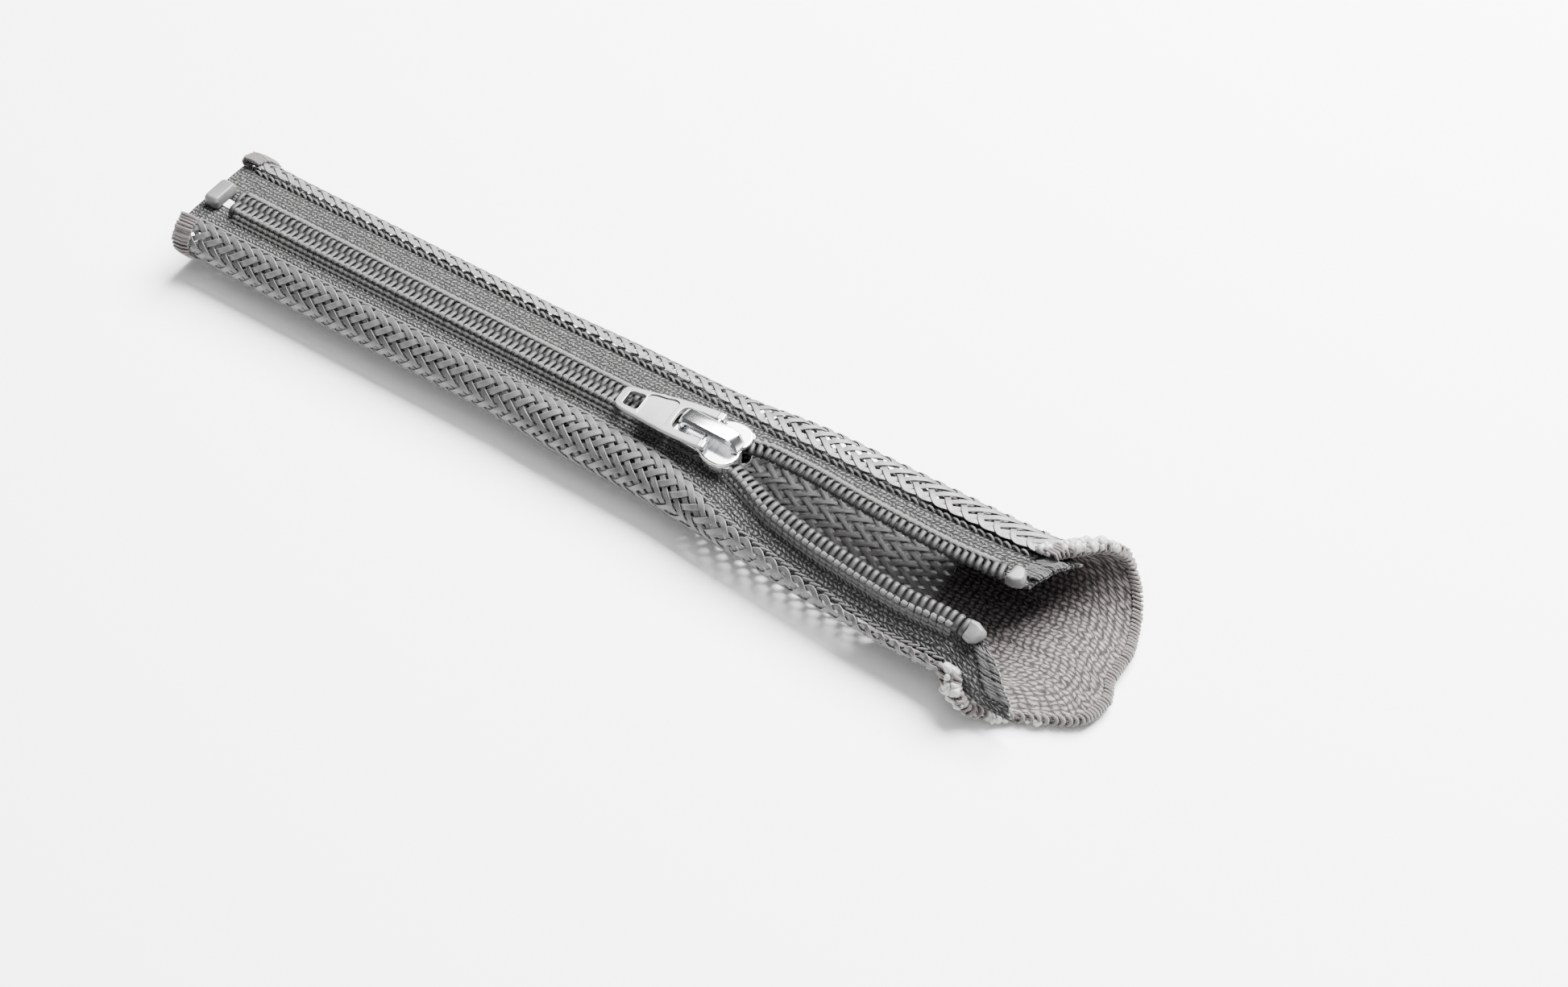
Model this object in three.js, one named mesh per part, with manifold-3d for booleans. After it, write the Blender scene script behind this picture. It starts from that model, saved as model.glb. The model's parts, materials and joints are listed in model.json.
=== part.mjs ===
// Zippered cable sleeve, with its zip open over the front end.
// Millimetres. +X runs along the sleeve to its open end, +Y is the far side, +Z is up.
// The sleeve rests on z = 0 and the zip's middle lies over y = 0.
import * as THREE from 'three';
import Module from 'manifold-3d';

const wasm = await Module();
wasm.setup();
const { Manifold, CrossSection } = wasm;

// Driving sizes of the sleeve
const SLEEVE_LENGTH = 210;
const SLEEVE_WIDTH = 30;
const ZIP_LEVEL = 12.4;
const OPEN_LENGTH = 57;
const LIP_LENGTH = 21;
const NEAR_SPREAD = 9.4;
const FAR_SPREAD = 1.2;
const CLEARANCE = 0.3;

// Braided wall
const BRAID_THICKNESS = 1;
const RIB_HEIGHT = 0.5;
const CELL_LENGTH = 3.15;
const CELL_WIDTH = 2.65;
const GAP_REACH = 0.6;
const GAP_ROWS = [2, 4];

// Zip tapes and their coils
const TAPE_THICKNESS = 0.8;
const TAPE_EDGE = 1.5;
const TAPE_UNDERLAP = 2.6;
const NEAR_TAPE_ENDS = [2.2, 11];
const FAR_TAPE_ENDS = [2.5, 3];
const COIL_PITCH = 1.5;
const COIL_WIDTH = 2.95;
const COIL_HEIGHT = 2;
const COIL_HEAD = 0.35;
const COIL_NOTCH = 0.85;
const STOP_LENGTH = 3.6;
const STOP_HEIGHT = 2.5;

// Edge bindings at both ends of the braid
const HEM_LAP = 3.2;
const HEM_THICKNESS = 0.75;
const HEM_RIB = 0.4;
const RISE_LENGTH = 14;

// Slider, measured from its nose
const SLIDER_LENGTH = 14.4;
const SLIDER_HALF_WIDTH = 5.6;
const PLATE_THICKNESS = 0.85;
const SLIDER_PLAY = 0.35;
const POST_LENGTH = 4.7;
const CAP_WIDTH = 3.8;
const CAP_THICKNESS = 1;
const PAWL_THICKNESS = 0.4;
const PULL_LENGTH = 20;
const PULL_THICKNESS = 1.15;
const PULL_HALF_WIDTH = 4.7;
const PIVOT_RADIUS = 0.6;
const KNUCKLE_RADIUS = 0.72;
const PULL_TILT_DEG = 1.8;
const PULL_SLANT_DEG = 5;

const CLOSED_LENGTH = SLEEVE_LENGTH - OPEN_LENGTH - LIP_LENGTH;
const NOSE_X = SLEEVE_LENGTH / 2 - OPEN_LENGTH - LIP_LENGTH;
const TAPE_TOP = -CLEARANCE;
const TAPE_BOTTOM = TAPE_TOP - TAPE_THICKNESS;

const materials = {
  braid: { color: 0xaeaeac, roughness: 0.55, metalness: 0 },
  tape: { color: 0x888885, roughness: 0.9, metalness: 0 },
  coil: { color: 0x959592, roughness: 0.5, metalness: 0 },
  stop: { color: 0x8d8d8c, roughness: 0.4, metalness: 0 },
  hem: { color: 0xb9aeab, roughness: 0.85, metalness: 0 },
  nickel: { color: 0xc8c9ca, roughness: 0.22, metalness: 1 },
  satin: { color: 0xb4b5b6, roughness: 0.42, metalness: 1 },
};

/** Monotone cubic through rows of [position, value], flat beyond both ends. */
function curveThrough(rows) {
  const n = rows.length;
  const slope = [];
  for (let k = 0; k < n - 1; k += 1) {
    slope.push((rows[k + 1][1] - rows[k][1]) / (rows[k + 1][0] - rows[k][0]));
  }
  const tangent = rows.map((row, k) => {
    if (k === 0 || k === n - 1) return 0;
    const before = slope[k - 1];
    const after = slope[k];
    return before * after <= 0 ? 0 : (2 * before * after) / (before + after);
  });
  return (at) => {
    if (at <= rows[0][0]) return rows[0][1];
    if (at >= rows[n - 1][0]) return rows[n - 1][1];
    let k = 0;
    while (rows[k + 1][0] < at) k += 1;
    const span = rows[k + 1][0] - rows[k][0];
    const t = (at - rows[k][0]) / span;
    const t2 = t * t;
    const t3 = t2 * t;
    return (2 * t3 - 3 * t2 + 1) * rows[k][1] + (t3 - 2 * t2 + t) * span * tangent[k]
      + (3 * t2 - 2 * t3) * rows[k + 1][1] + (t3 - t2) * span * tangent[k + 1];
  };
}

// Stations along the sleeve, measured from the slider's nose. The part under the slider keeps its
// own length, and the rest follows the closed and open lengths.
const back = (share) => -SLIDER_LENGTH - share * (CLOSED_LENGTH - SLIDER_LENGTH);
const front = (share) => share * OPEN_LENGTH;
const STATIONS = [
  back(1), back(0.35), back(0.15), -SLIDER_LENGTH, -0.35 * SLIDER_LENGTH, 0,
  front(0.06), front(0.2), front(0.45), front(0.75), front(0.9), front(1), front(1.12),
];

// The line of the cloth in each half, from the zip over the seam and the side to the floor's
// middle. Y is for a sleeve 30 wide, and Z is the share of the height between floor and zip.
const NEAR_LINES = {
  zipY: [0, 0, 0, 0, 0.08, 0.2, 0.32, 0.6, 0.86, 1, 0.96, 1, 1.04].map((v) => -v * NEAR_SPREAD),
  zipZ: [1, 1, 1, 1, 1, 1, 1.01, 1.035, 1.06, 1.08, 1.08, 1.06, 1.02],
  points: [
    { y: [-5, -5, -5, -5, -5.4, -6.1, -6.8, -8.6, -11, -12.6, -12.5, -13.2, -14], step: 5,
      z: [1, 1, 1, 1, 1, 0.99, 0.98, 0.95, 0.92, 0.9, 0.9, 0.86, 0.78] },
    { y: [-7.4, -7.4, -6.7, -7.3, -9.6, -11.4, -12.2, -13.5, -15.1, -16.7, -16.6, -17, -18],
      z: [0.965, 0.965, 0.97, 0.965, 0.93, 0.875, 0.85, 0.77, 0.7, 0.65, 0.64, 0.62, 0.52], seam: true },
    { y: [-9.4, -9.5, -10, -10.4, -11.9, -12.9, -13.4, -14.3, -15.7, -16.9, -16.9, -18.2, -19.4],
      z: [0.82, 0.82, 0.82, 0.82, 0.79, 0.74, 0.71, 0.65, 0.6, 0.57, 0.56, 0.5, 0.42] },
    { y: [-10.8, -11, -12, -12.3, -13, -13.5, -13.8, -14.4, -15.6, -16.2, -16.9, -19, -20.2],
      z: [0.53, 0.53, 0.53, 0.53, 0.52, 0.51, 0.5, 0.48, 0.46, 0.45, 0.44, 0.36, 0.32] },
    { y: [-8.2, -8.4, -9.7, -10, -10.8, -11.3, -11.6, -12, -13, -13.3, -14.8, -18.4, -19.8],
      z: [0.19, 0.19, 0.19, 0.19, 0.19, 0.19, 0.185, 0.18, 0.17, 0.17, 0.16, 0.14, 0.13] },
    { y: [-4.6, -4.8, -6, -6.3, -7, -7.4, -7.6, -8, -8.5, -8.8, -10.6, -14.6, -16], z: 0 },
    { y: [-1.5, -1.5, -2, -2, -2, -2, -2, -2, -2, -2.4, -4, -7, -8], z: 0 },
  ],
};
const FAR_LINES = {
  zipY: [0, 0, 0, 0, 0.75, 1.88, 2.6, 2.5, 1.6, 1.2, 1.7, 2.4, 2.8].map((v) => v * (FAR_SPREAD + 1.2) / 2.4),
  zipZ: [1, 1, 1, 1, 1, 1, 1, 1.01, 1.03, 1.04, 1.05, 1.04, 1],
  points: [
    { y: [5, 5, 5, 5, 5.5, 6.3, 6.6, 6.6, 6.2, 6, 6.4, 7, 7.4], step: 5,
      z: [1, 1, 1, 1, 1, 1, 1.005, 1.015, 1.03, 1.04, 1.06, 1.08, 1.08] },
    { y: [10.3, 10.3, 10.6, 10.3, 9.9, 9.7, 9.7, 9.7, 9.9, 10.1, 10.3, 10.9, 11.2],
      z: [0.98, 0.98, 0.98, 0.98, 0.985, 0.99, 1, 1.01, 1.02, 1.04, 1.06, 1.09, 1.1], seam: true },
    { y: [12.9, 12.9, 13.4, 13.4, 13.7, 14.1, 14.4, 14.8, 15, 15.2, 15.4, 17.4, 18.4],
      z: [0.85, 0.84, 0.86, 0.87, 0.89, 0.92, 0.93, 0.95, 0.95, 0.96, 0.97, 1.06, 1.08] },
    { y: [14.8, 14.8, 15.3, 15.4, 15.7, 16, 16.3, 16.6, 16.7, 16.9, 17.4, 20.4, 21.4],
      z: [0.51, 0.51, 0.52, 0.52, 0.53, 0.54, 0.55, 0.56, 0.57, 0.58, 0.6, 0.74, 0.78] },
    { y: [12.9, 12.9, 13.3, 13.4, 13.6, 13.8, 14, 14.2, 14.3, 14.5, 15, 17.6, 18.4],
      z: [0.19, 0.19, 0.19, 0.19, 0.19, 0.19, 0.19, 0.19, 0.19, 0.2, 0.2, 0.26, 0.28] },
    { y: [9, 9, 9.4, 9.5, 9.6, 9.8, 9.9, 10, 10, 10, 10.4, 12, 12.6], z: 0 },
    { y: [5, 5, 5.2, 5.2, 5.2, 5.2, 5.2, 5.2, 5.2, 5.2, 5.4, 6, 6], z: 0 },
  ],
};
const FLOOR_MIDDLE = 1.7;

// How far each lengthwise line of the open end runs past the ends of the coils. The places are
// 0 at the zip, 1 at the seam and 2 at the floor's middle.
const NEAR_REACH = curveThrough([
  [0, 0], [1, 0], [1.17, 0.14], [1.28, 0.34], [1.45, 0.76], [1.6, 1.02], [1.8, 1.08], [2, 1],
]);
const FAR_REACH = curveThrough([
  [0, 0], [1, 0.12], [1.12, 0.28], [1.25, 0.48], [1.45, 0.76], [1.62, 0.9], [1.85, 1], [2, 1],
]);

/** One half of the cloth's line, from the zip down to the middle of the floor. */
class Half {
  constructor(side, lines, reach) {
    this.side = side;
    const wide = SLEEVE_WIDTH / 30;
    const column = (values) => curveThrough(STATIONS.map((s, k) => [s, values[k]]));
    const whole = (value) => (Array.isArray(value) ? value : STATIONS.map(() => value));
    this.reach = reach;
    this.zip = { y: column(lines.zipY), z: column(lines.zipZ) };
    this.points = lines.points.map((point) => ({
      y: column(point.y.map((y) => (point.step ? y : y * wide))),
      z: column(whole(point.z)),
      seam: point.seam,
    }));
    this.cache = new Map();
  }

  /** The sampled line at station s, with its lengths from the zip. */
  line(s) {
    if (this.cache.has(s)) return this.cache.get(s);
    const base = BRAID_THICKNESS + this.#rise(s);
    const level = (share) => base + share * (ZIP_LEVEL - base);
    const knots = [[this.zip.y(s), level(this.zip.z(s))]];
    const first = [this.points[0].y(s), level(this.points[0].z(s))];
    knots.push([(knots[0][0] + first[0]) / 2, (knots[0][1] + first[1]) / 2]);
    let seamKnot = 0;
    this.points.forEach((point) => {
      knots.push([point.y(s), level(point.z(s))]);
      if (point.seam) seamKnot = knots.length - 1;
    });
    knots.push([FLOOR_MIDDLE * SLEEVE_WIDTH / 30, base]);
    const path = [];
    const steps = 6;
    let seam = 0;
    let length = 0;
    for (let k = 0; k < knots.length - 1; k += 1) {
      for (let q = 0; q < steps; q += 1) {
        if (k === seamKnot && q === 0) seam = path.length;
        path.push(this.#between(knots, k, q / steps, base));
      }
    }
    path.push(knots[knots.length - 1]);
    const run = path.map((p, k) => {
      if (k > 0) length += Math.hypot(p[0] - path[k - 1][0], p[1] - path[k - 1][1]);
      return length;
    });
    const found = { path, run, seam: run[seam], total: length };
    this.cache.set(s, found);
    return found;
  }

  /** How far the floor is lifted near both ends, to clear the binding below it. */
  #rise(s) {
    const full = CLEARANCE + HEM_THICKNESS + HEM_RIB + 0.25;
    const fromRear = (s + CLOSED_LENGTH) / RISE_LENGTH;
    const fromFront = (OPEN_LENGTH - s) / RISE_LENGTH;
    return full * (1 - THREE.MathUtils.smoothstep(Math.min(fromRear, fromFront), 0.42, 1));
  }

  #between(knots, k, t, base) {
    const p0 = knots[Math.max(k - 1, 0)];
    const p1 = knots[k];
    const p2 = knots[k + 1];
    const p3 = knots[Math.min(k + 2, knots.length - 1)];
    const value = (axis) => {
      const m1 = (p2[axis] - p0[axis]) / 2;
      const m2 = (p3[axis] - p1[axis]) / 2;
      const t2 = t * t;
      const t3 = t2 * t;
      return (2 * t3 - 3 * t2 + 1) * p1[axis] + (t3 - 2 * t2 + t) * m1
        + (3 * t2 - 2 * t3) * p2[axis] + (t3 - t2) * m2;
    };
    return [value(0), Math.max(value(1), base)];
  }

  /** A point at station s, d along the line from the zip, raised by offset out of the cloth. */
  point(s, d, offset) {
    const { path, run, seam, total } = this.line(s);
    let k = 0;
    const at = Math.min(Math.max(d, 0), total - 1e-6);
    while (run[k + 1] < at) k += 1;
    const t = (at - run[k]) / (run[k + 1] - run[k]);
    const y = path[k][0] + t * (path[k + 1][0] - path[k][0]);
    const z = path[k][1] + t * (path[k + 1][1] - path[k][1]);
    const before = this.#normal(path, k);
    const after = this.#normal(path, k + 1);
    let ny = before[0] + t * (after[0] - before[0]);
    let nz = before[1] + t * (after[1] - before[1]);
    const size = Math.hypot(ny, nz);
    ny /= size;
    nz /= size;
    const over = d - at;
    const place = d < seam ? Math.max(d, 0) / seam : 1 + (at - seam) / (total - seam);
    const alongY = this.side * nz * over;
    const alongZ = -this.side * ny * over;
    const open = Math.max(s, 0) / OPEN_LENGTH;
    const x = NOSE_X + s + this.reach(place) * LIP_LENGTH * open ** 1.5;
    return new THREE.Vector3(x, y + ny * offset + alongY, z + nz * offset + alongZ);
  }

  #normal(path, k) {
    const a = path[Math.max(k - 1, 0)];
    const b = path[Math.min(k + 1, path.length - 1)];
    const dy = b[0] - a[0];
    const dz = b[1] - a[1];
    const size = Math.hypot(dy, dz);
    return [-this.side * dz / size, this.side * dy / size];
  }
}

const near = new Half(-1, NEAR_LINES, NEAR_REACH);
const far = new Half(1, FAR_LINES, FAR_REACH);

/** Triangles gathered into one closed body. */
class Body {
  constructor() {
    this.vertices = [];
    this.triangles = [];
  }

  vertex(point) {
    this.vertices.push(point);
    return this.vertices.length - 1;
  }

  triangle(a, b, c) {
    if (a !== b && b !== c && a !== c) this.triangles.push([a, b, c]);
  }

  quad(a, b, c, d) {
    this.triangle(a, b, c);
    this.triangle(a, c, d);
  }

  /** Fill the band between two rows of vertices that start and end together. */
  stitch(fine, coarse) {
    let k = 0;
    let m = 0;
    while (k < fine.length - 1 || m < coarse.length - 1) {
      const nextFine = (k + 1) / (fine.length - 1);
      const nextCoarse = (m + 1) / (coarse.length - 1);
      if (m === coarse.length - 1 || (k < fine.length - 1 && nextFine <= nextCoarse)) {
        this.triangle(fine[k + 1], fine[k], coarse[m]);
        k += 1;
      } else {
        this.triangle(coarse[m], coarse[m + 1], fine[k]);
        m += 1;
      }
    }
  }

  /** Skin a row of matching rings and close both ends. */
  loft(rings, cap) {
    const rows = rings.map((ring) => ring.map((point) => this.vertex(point)));
    for (let k = 0; k < rows.length - 1; k += 1) {
      rows[k].forEach((from, q) => {
        const next = (q + 1) % rows[k].length;
        this.quad(from, rows[k][next], rows[k + 1][next], rows[k + 1][q]);
      });
    }
    const last = rows[rows.length - 1];
    cap.forEach(([a, b, c]) => {
      this.triangle(rows[0][c], rows[0][b], rows[0][a]);
      this.triangle(last[a], last[b], last[c]);
    });
    return this;
  }

  geometry() {
    let volume = 0;
    this.triangles.forEach(([a, b, c]) => {
      const cross = this.vertices[b].clone().cross(this.vertices[c]);
      volume += this.vertices[a].dot(cross);
    });
    const numbers = [];
    this.triangles.forEach(([a, b, c]) => {
      const order = volume > 0 ? [a, b, c] : [a, c, b];
      order.forEach((k) => numbers.push(...this.vertices[k].toArray()));
    });
    const geometry = new THREE.BufferGeometry();
    geometry.setAttribute('position', new THREE.Float32BufferAttribute(numbers, 3));
    geometry.computeVertexNormals();
    return geometry;
  }
}

/** A flat outline's triangles, as triples of its corners that turn the way the outline does. */
function capOf(outline) {
  const corners = outline.map(([x, y]) => new THREE.Vector2(x, y));
  const triangles = THREE.ShapeUtils.triangulateShape(corners, []);
  const area = triangles.reduce(
    (sum, triple) => sum + THREE.ShapeUtils.area(triple.map((k) => corners[k])),
    0,
  );
  const sameTurn = area * THREE.ShapeUtils.area(corners) > 0;
  return sameTurn ? triangles : triangles.map(([a, b, c]) => [a, c, b]);
}

/** The closed body that a manifold holds, as three.js geometry. */
function fromManifold(solid) {
  const mesh = solid.getMesh();
  const body = new Body();
  for (let k = 0; k < mesh.numVert; k += 1) {
    const at = k * mesh.numProp;
    body.vertex(new THREE.Vector3(...mesh.vertProperties.slice(at, at + 3)));
  }
  for (let k = 0; k < mesh.numTri; k += 1) {
    body.triangle(...mesh.triVerts.slice(3 * k, 3 * k + 3));
  }
  return body.geometry();
}

/** A flat outline raised from one level to another. */
function slab(outline, low, high) {
  return new CrossSection([outline], 'NonZero').extrude(high - low).translate([0, 0, low]);
}

/** A half outline of [x, half width] rows turned into a whole one, even about y = 0. */
function evenOutline(rows) {
  return [...rows.map(([x, w]) => [x, -w]), ...[...rows].reverse().map(([x, w]) => [x, w])];
}

function named(name, geometry, material) {
  const mesh = new THREE.Mesh(geometry, new THREE.MeshStandardMaterial(materials[material]));
  mesh.name = name;
  return mesh;
}

/** The braided wall, from the near seam round the floor to the far seam. */
function braidedWall() {
  const rear = -CLOSED_LENGTH + CLEARANCE + HEM_THICKNESS;
  const columns = 2 * Math.round((OPEN_LENGTH - rear) / CELL_LENGTH / 2);
  const girth = near.line(-SLIDER_LENGTH).total - near.line(-SLIDER_LENGTH).seam
    + far.line(-SLIDER_LENGTH).total - far.line(-SLIDER_LENGTH).seam;
  const rows = 2 * Math.round(girth / CELL_WIDTH / 2);
  const stationOf = (i) => rear + (OPEN_LENGTH - rear) * i / columns;
  const place = (i, j, lift) => {
    const s = stationOf(i);
    const nearLine = near.line(s);
    const farLine = far.line(s);
    const nearGirth = nearLine.total - nearLine.seam;
    const farGirth = farLine.total - farLine.seam;
    const d = (nearGirth + farGirth) * j / rows;
    if (d <= nearGirth) return near.point(s, nearLine.seam + d, lift);
    return far.point(s, farLine.total - (d - nearGirth), lift);
  };
  const underHem = (i) => {
    const s = stationOf(i);
    return s < rear + HEM_LAP + 1 || s > OPEN_LENGTH - HEM_LAP - 1;
  };
  const lift = (i, j) => {
    const isRib = (Math.round(i) + Math.round(j)) % 2 === 0;
    if (underHem(i)) return BRAID_THICKNESS;
    if (j === 0 || j === rows) return BRAID_THICKNESS + RIB_HEIGHT;
    const height = place(i, j, 0).z - BRAID_THICKNESS;
    const onFloor = height < 0.05;
    const clear = Math.min(height / 1.5, 1);
    const flat = onFloor && Math.abs(j - rows / 2) < 1.5;
    const rib = isRib || flat ? 0 : -RIB_HEIGHT;
    return BRAID_THICKNESS + RIB_HEIGHT * clear + rib;
  };
  const isGap = (i, j) => {
    const row = j <= rows / 2 ? j : rows - j;
    return i % 2 === 1 && GAP_ROWS.includes(row) && !underHem(i) && (j < rows / 2 || row === GAP_ROWS[0]
      || stationOf(i) > -SLIDER_LENGTH);
  };
  const reachI = GAP_REACH / CELL_LENGTH;
  const reachJ = GAP_REACH / CELL_WIDTH;
  const body = new Body();
  const known = new Map();
  const at = (face, i, j) => {
    const key = `${face}:${i.toFixed(4)}:${j.toFixed(4)}`;
    if (!known.has(key)) {
      const raised = face === 'outer' ? lift(i, j) : 0;
      known.set(key, body.vertex(place(i, j, raised)));
    }
    return known.get(key);
  };
  const toward = (from, to) => [
    from[0] + Math.sign(to[0] - from[0]) * reachI,
    from[1] + Math.sign(to[1] - from[1]) * reachJ,
  ];
  for (let i = 0; i < columns; i += 1) {
    for (let j = 0; j < rows; j += 1) {
      const even = (i + j) % 2 === 0;
      const square = [[i, j], [i + 1, j], [i + 1, j + 1], [i, j + 1]];
      const [c0, k1, c2, k3] = even ? square : [...square.slice(1), square[0]];
      const cut = (corner, side) => at('outer', ...(isGap(...corner) ? toward(corner, side) : corner));
      const a1 = cut(k1, c0);
      const b1 = cut(k1, c2);
      const a3 = cut(k3, c2);
      const b3 = cut(k3, c0);
      const from = at('outer', ...c0);
      const to = at('outer', ...c2);
      const ridge = (j % 4 === 0 && even) || (j % 4 === 2 && !even);
      if (ridge) {
        body.quad(from, a1, b1, to);
        body.quad(from, to, a3, b3);
      } else {
        body.triangle(from, a1, b3);
        body.triangle(b1, to, a3);
        body.quad(a1, b1, a3, b3);
      }
    }
  }
  for (let i = 0; i < columns; i += 2) {
    for (let j = 0; j < rows; j += 1) {
      const outline = [[i, j]];
      if (isGap(i + 1, j)) outline.push([i + 1 - reachI, j], [i + 1, j + reachJ], [i + 1 + reachI, j]);
      outline.push([i + 2, j], [i + 2, j + 1]);
      if (isGap(i + 1, j + 1)) {
        outline.push([i + 1 + reachI, j + 1], [i + 1, j + 1 - reachJ], [i + 1 - reachI, j + 1]);
      }
      outline.push([i, j + 1]);
      capOf(outline).forEach(([a, b, c]) => {
        body.triangle(at('inner', ...outline[c]), at('inner', ...outline[b]), at('inner', ...outline[a]));
      });
    }
  }
  for (let i = 1; i < columns; i += 2) {
    for (let j = 1; j < rows; j += 1) {
      if (isGap(i, j)) {
        const ring = [[i + reachI, j], [i, j + reachJ], [i - reachI, j], [i, j - reachJ]];
        ring.forEach((p, k) => {
          const q = ring[(k + 1) % 4];
          body.quad(at('outer', ...p), at('outer', ...q), at('inner', ...q), at('inner', ...p));
        });
      }
    }
  }
  const span = (count, step, build) => {
    const list = [];
    for (let k = 0; k <= count; k += step) list.push(build(k));
    return list;
  };
  body.stitch(span(columns, 1, (i) => at('outer', i, 0)), span(columns, 2, (i) => at('inner', i, 0)));
  body.stitch(
    span(rows, 1, (j) => at('outer', columns, j)),
    span(rows, 1, (j) => at('inner', columns, j)),
  );
  body.stitch(
    span(columns, 1, (i) => at('outer', columns - i, rows)),
    span(columns, 2, (i) => at('inner', columns - i, rows)),
  );
  body.stitch(
    span(rows, 1, (j) => at('outer', 0, rows - j)),
    span(rows, 1, (j) => at('inner', 0, rows - j)),
  );
  return body.geometry();
}

/**
 * One woven tape, from under its coil to a strip under the braid's edge. Its ends at the open side
 * run past the coil by one length at the zip and another at the seam.
 */
function zipTape(half, [endAtZip, endAtSeam]) {
  const rear = -CLOSED_LENGTH + CLEARANCE;
  const stations = [rear];
  for (let k = 1; k <= 9; k += 1) stations.push(rear + (-SLIDER_LENGTH - rear) * k / 9);
  [-0.65, -0.35, 0].forEach((share) => stations.push(share * SLIDER_LENGTH));
  for (let k = 1; k <= 12; k += 1) stations.push(OPEN_LENGTH * k / 12);
  const shares = [0, 0.36, 0.72, 1];
  const rings = stations.map((station) => {
    const open = Math.max(station, 0) / OPEN_LENGTH;
    const top = [];
    const bottom = [];
    const column = (width, share, drop = 0) => {
      const end = endAtZip + (endAtSeam - endAtZip) * Math.min(share, 1);
      const s = station + end * open ** 2;
      const { seam } = half.line(s);
      const d = width(seam);
      top.push(half.point(s, d, TAPE_TOP - drop));
      bottom.unshift(half.point(s, d, TAPE_BOTTOM - drop));
    };
    shares.forEach((share) => column((seam) => TAPE_EDGE + share * (seam - TAPE_EDGE), share));
    column((seam) => seam + TAPE_UNDERLAP / 2, 1, 0.45);
    column((seam) => seam + TAPE_UNDERLAP, 1, 0.75);
    return [...top, ...bottom];
  });
  const count = rings[0].length;
  const cap = [];
  for (let k = 0; k < count / 2 - 1; k += 1) {
    cap.push([k, k + 1, count - 1 - k], [k + 1, count - 2 - k, count - 1 - k]);
  }
  return new Body().loft(rings, cap).geometry();
}

/** One coil: a row of loops across the tape's edge, with heads that point to the other coil. */
function zipCoil(half, firstIsLoop) {
  const rear = -CLOSED_LENGTH + STOP_LENGTH + 2.5;
  const end = OPEN_LENGTH - STOP_LENGTH / 2 - CLEARANCE;
  const count = 2 * Math.floor((end - rear) / COIL_PITCH);
  const body = new Body();
  const inner = [];
  const outer = [];
  const innerFoot = [];
  const outerFoot = [];
  for (let k = 0; k <= count; k += 1) {
    const s = end - (count - k) * COIL_PITCH / 2;
    const isLoop = (k % 2 === 0) === firstIsLoop;
    const head = half.point(s, isLoop ? -COIL_HEAD : COIL_NOTCH, COIL_HEIGHT * (isLoop ? 0.8 : 0.55));
    const heel = half.point(s, COIL_WIDTH - (isLoop ? 0.35 : 0), COIL_HEIGHT * (isLoop ? 1 : 0.62));
    inner.push(body.vertex(head));
    outer.push(body.vertex(heel));
  }
  const feet = 46;
  for (let k = 0; k <= feet; k += 1) {
    const s = end - (1 - k / feet) * count * COIL_PITCH / 2;
    innerFoot.push(body.vertex(half.point(s, COIL_NOTCH + 0.15, 0)));
    outerFoot.push(body.vertex(half.point(s, COIL_WIDTH, 0)));
  }
  for (let k = 0; k < count; k += 1) {
    body.quad(inner[k], inner[k + 1], outer[k + 1], outer[k]);
  }
  for (let k = 0; k < feet; k += 1) {
    body.quad(outerFoot[k], outerFoot[k + 1], innerFoot[k + 1], innerFoot[k]);
  }
  body.stitch(inner, innerFoot);
  body.stitch([...outer].reverse(), [...outerFoot].reverse());
  body.quad(inner[0], outer[0], outerFoot[0], innerFoot[0]);
  body.quad(outer[count], inner[count], innerFoot[feet], outerFoot[feet]);
  return body.geometry();
}

/** A small crimped block on the tape's edge, drawn as rows of [station, distance]. */
function edgeBlock(half, outline, low, high) {
  const ring = (h, shrink) => outline.map(([s, e]) => {
    const middle = outline.reduce((sum, row) => [sum[0] + row[0], sum[1] + row[1]], [0, 0])
      .map((total) => total / outline.length);
    return half.point(s + (middle[0] - s) * shrink, e + (middle[1] - e) * shrink, h);
  });
  const rings = [ring(low, 0), ring(high * 0.7, 0), ring(high, 0.22)];
  return new Body().loft(rings, capOf(outline)).geometry();
}

function topStop(half) {
  const s = OPEN_LENGTH - STOP_LENGTH / 2;
  const outline = [
    [s, -0.5], [s + 0.2, 1.3], [s, 3.2], [s + 1.3, 3.5], [s + 2.6, 2.7],
    [s + STOP_LENGTH, 1], [s + STOP_LENGTH - 0.2, 0], [s + 1.6, -0.7],
  ];
  return edgeBlock(half, outline, 0, STOP_HEIGHT);
}

/** The stop that holds both rows together at the zip's closed end. */
function bottomStop() {
  const length = STOP_LENGTH;
  const half = COIL_WIDTH + 0.4;
  const rows = [[0, half - 0.5], [0.5, half], [length - 0.5, half], [length, half - 0.5]];
  const plan = evenOutline(rows);
  const ring = (h, inset) => plan.map(([x, y]) => new THREE.Vector3(
    x + (length / 2 - x) * inset,
    y * (1 - inset),
    h,
  ));
  const rings = [ring(0, 0), ring(STOP_HEIGHT * 0.7, 0), ring(STOP_HEIGHT, 0.2)];
  return new Body().loft(rings, capOf(plan)).geometry();
}

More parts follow.
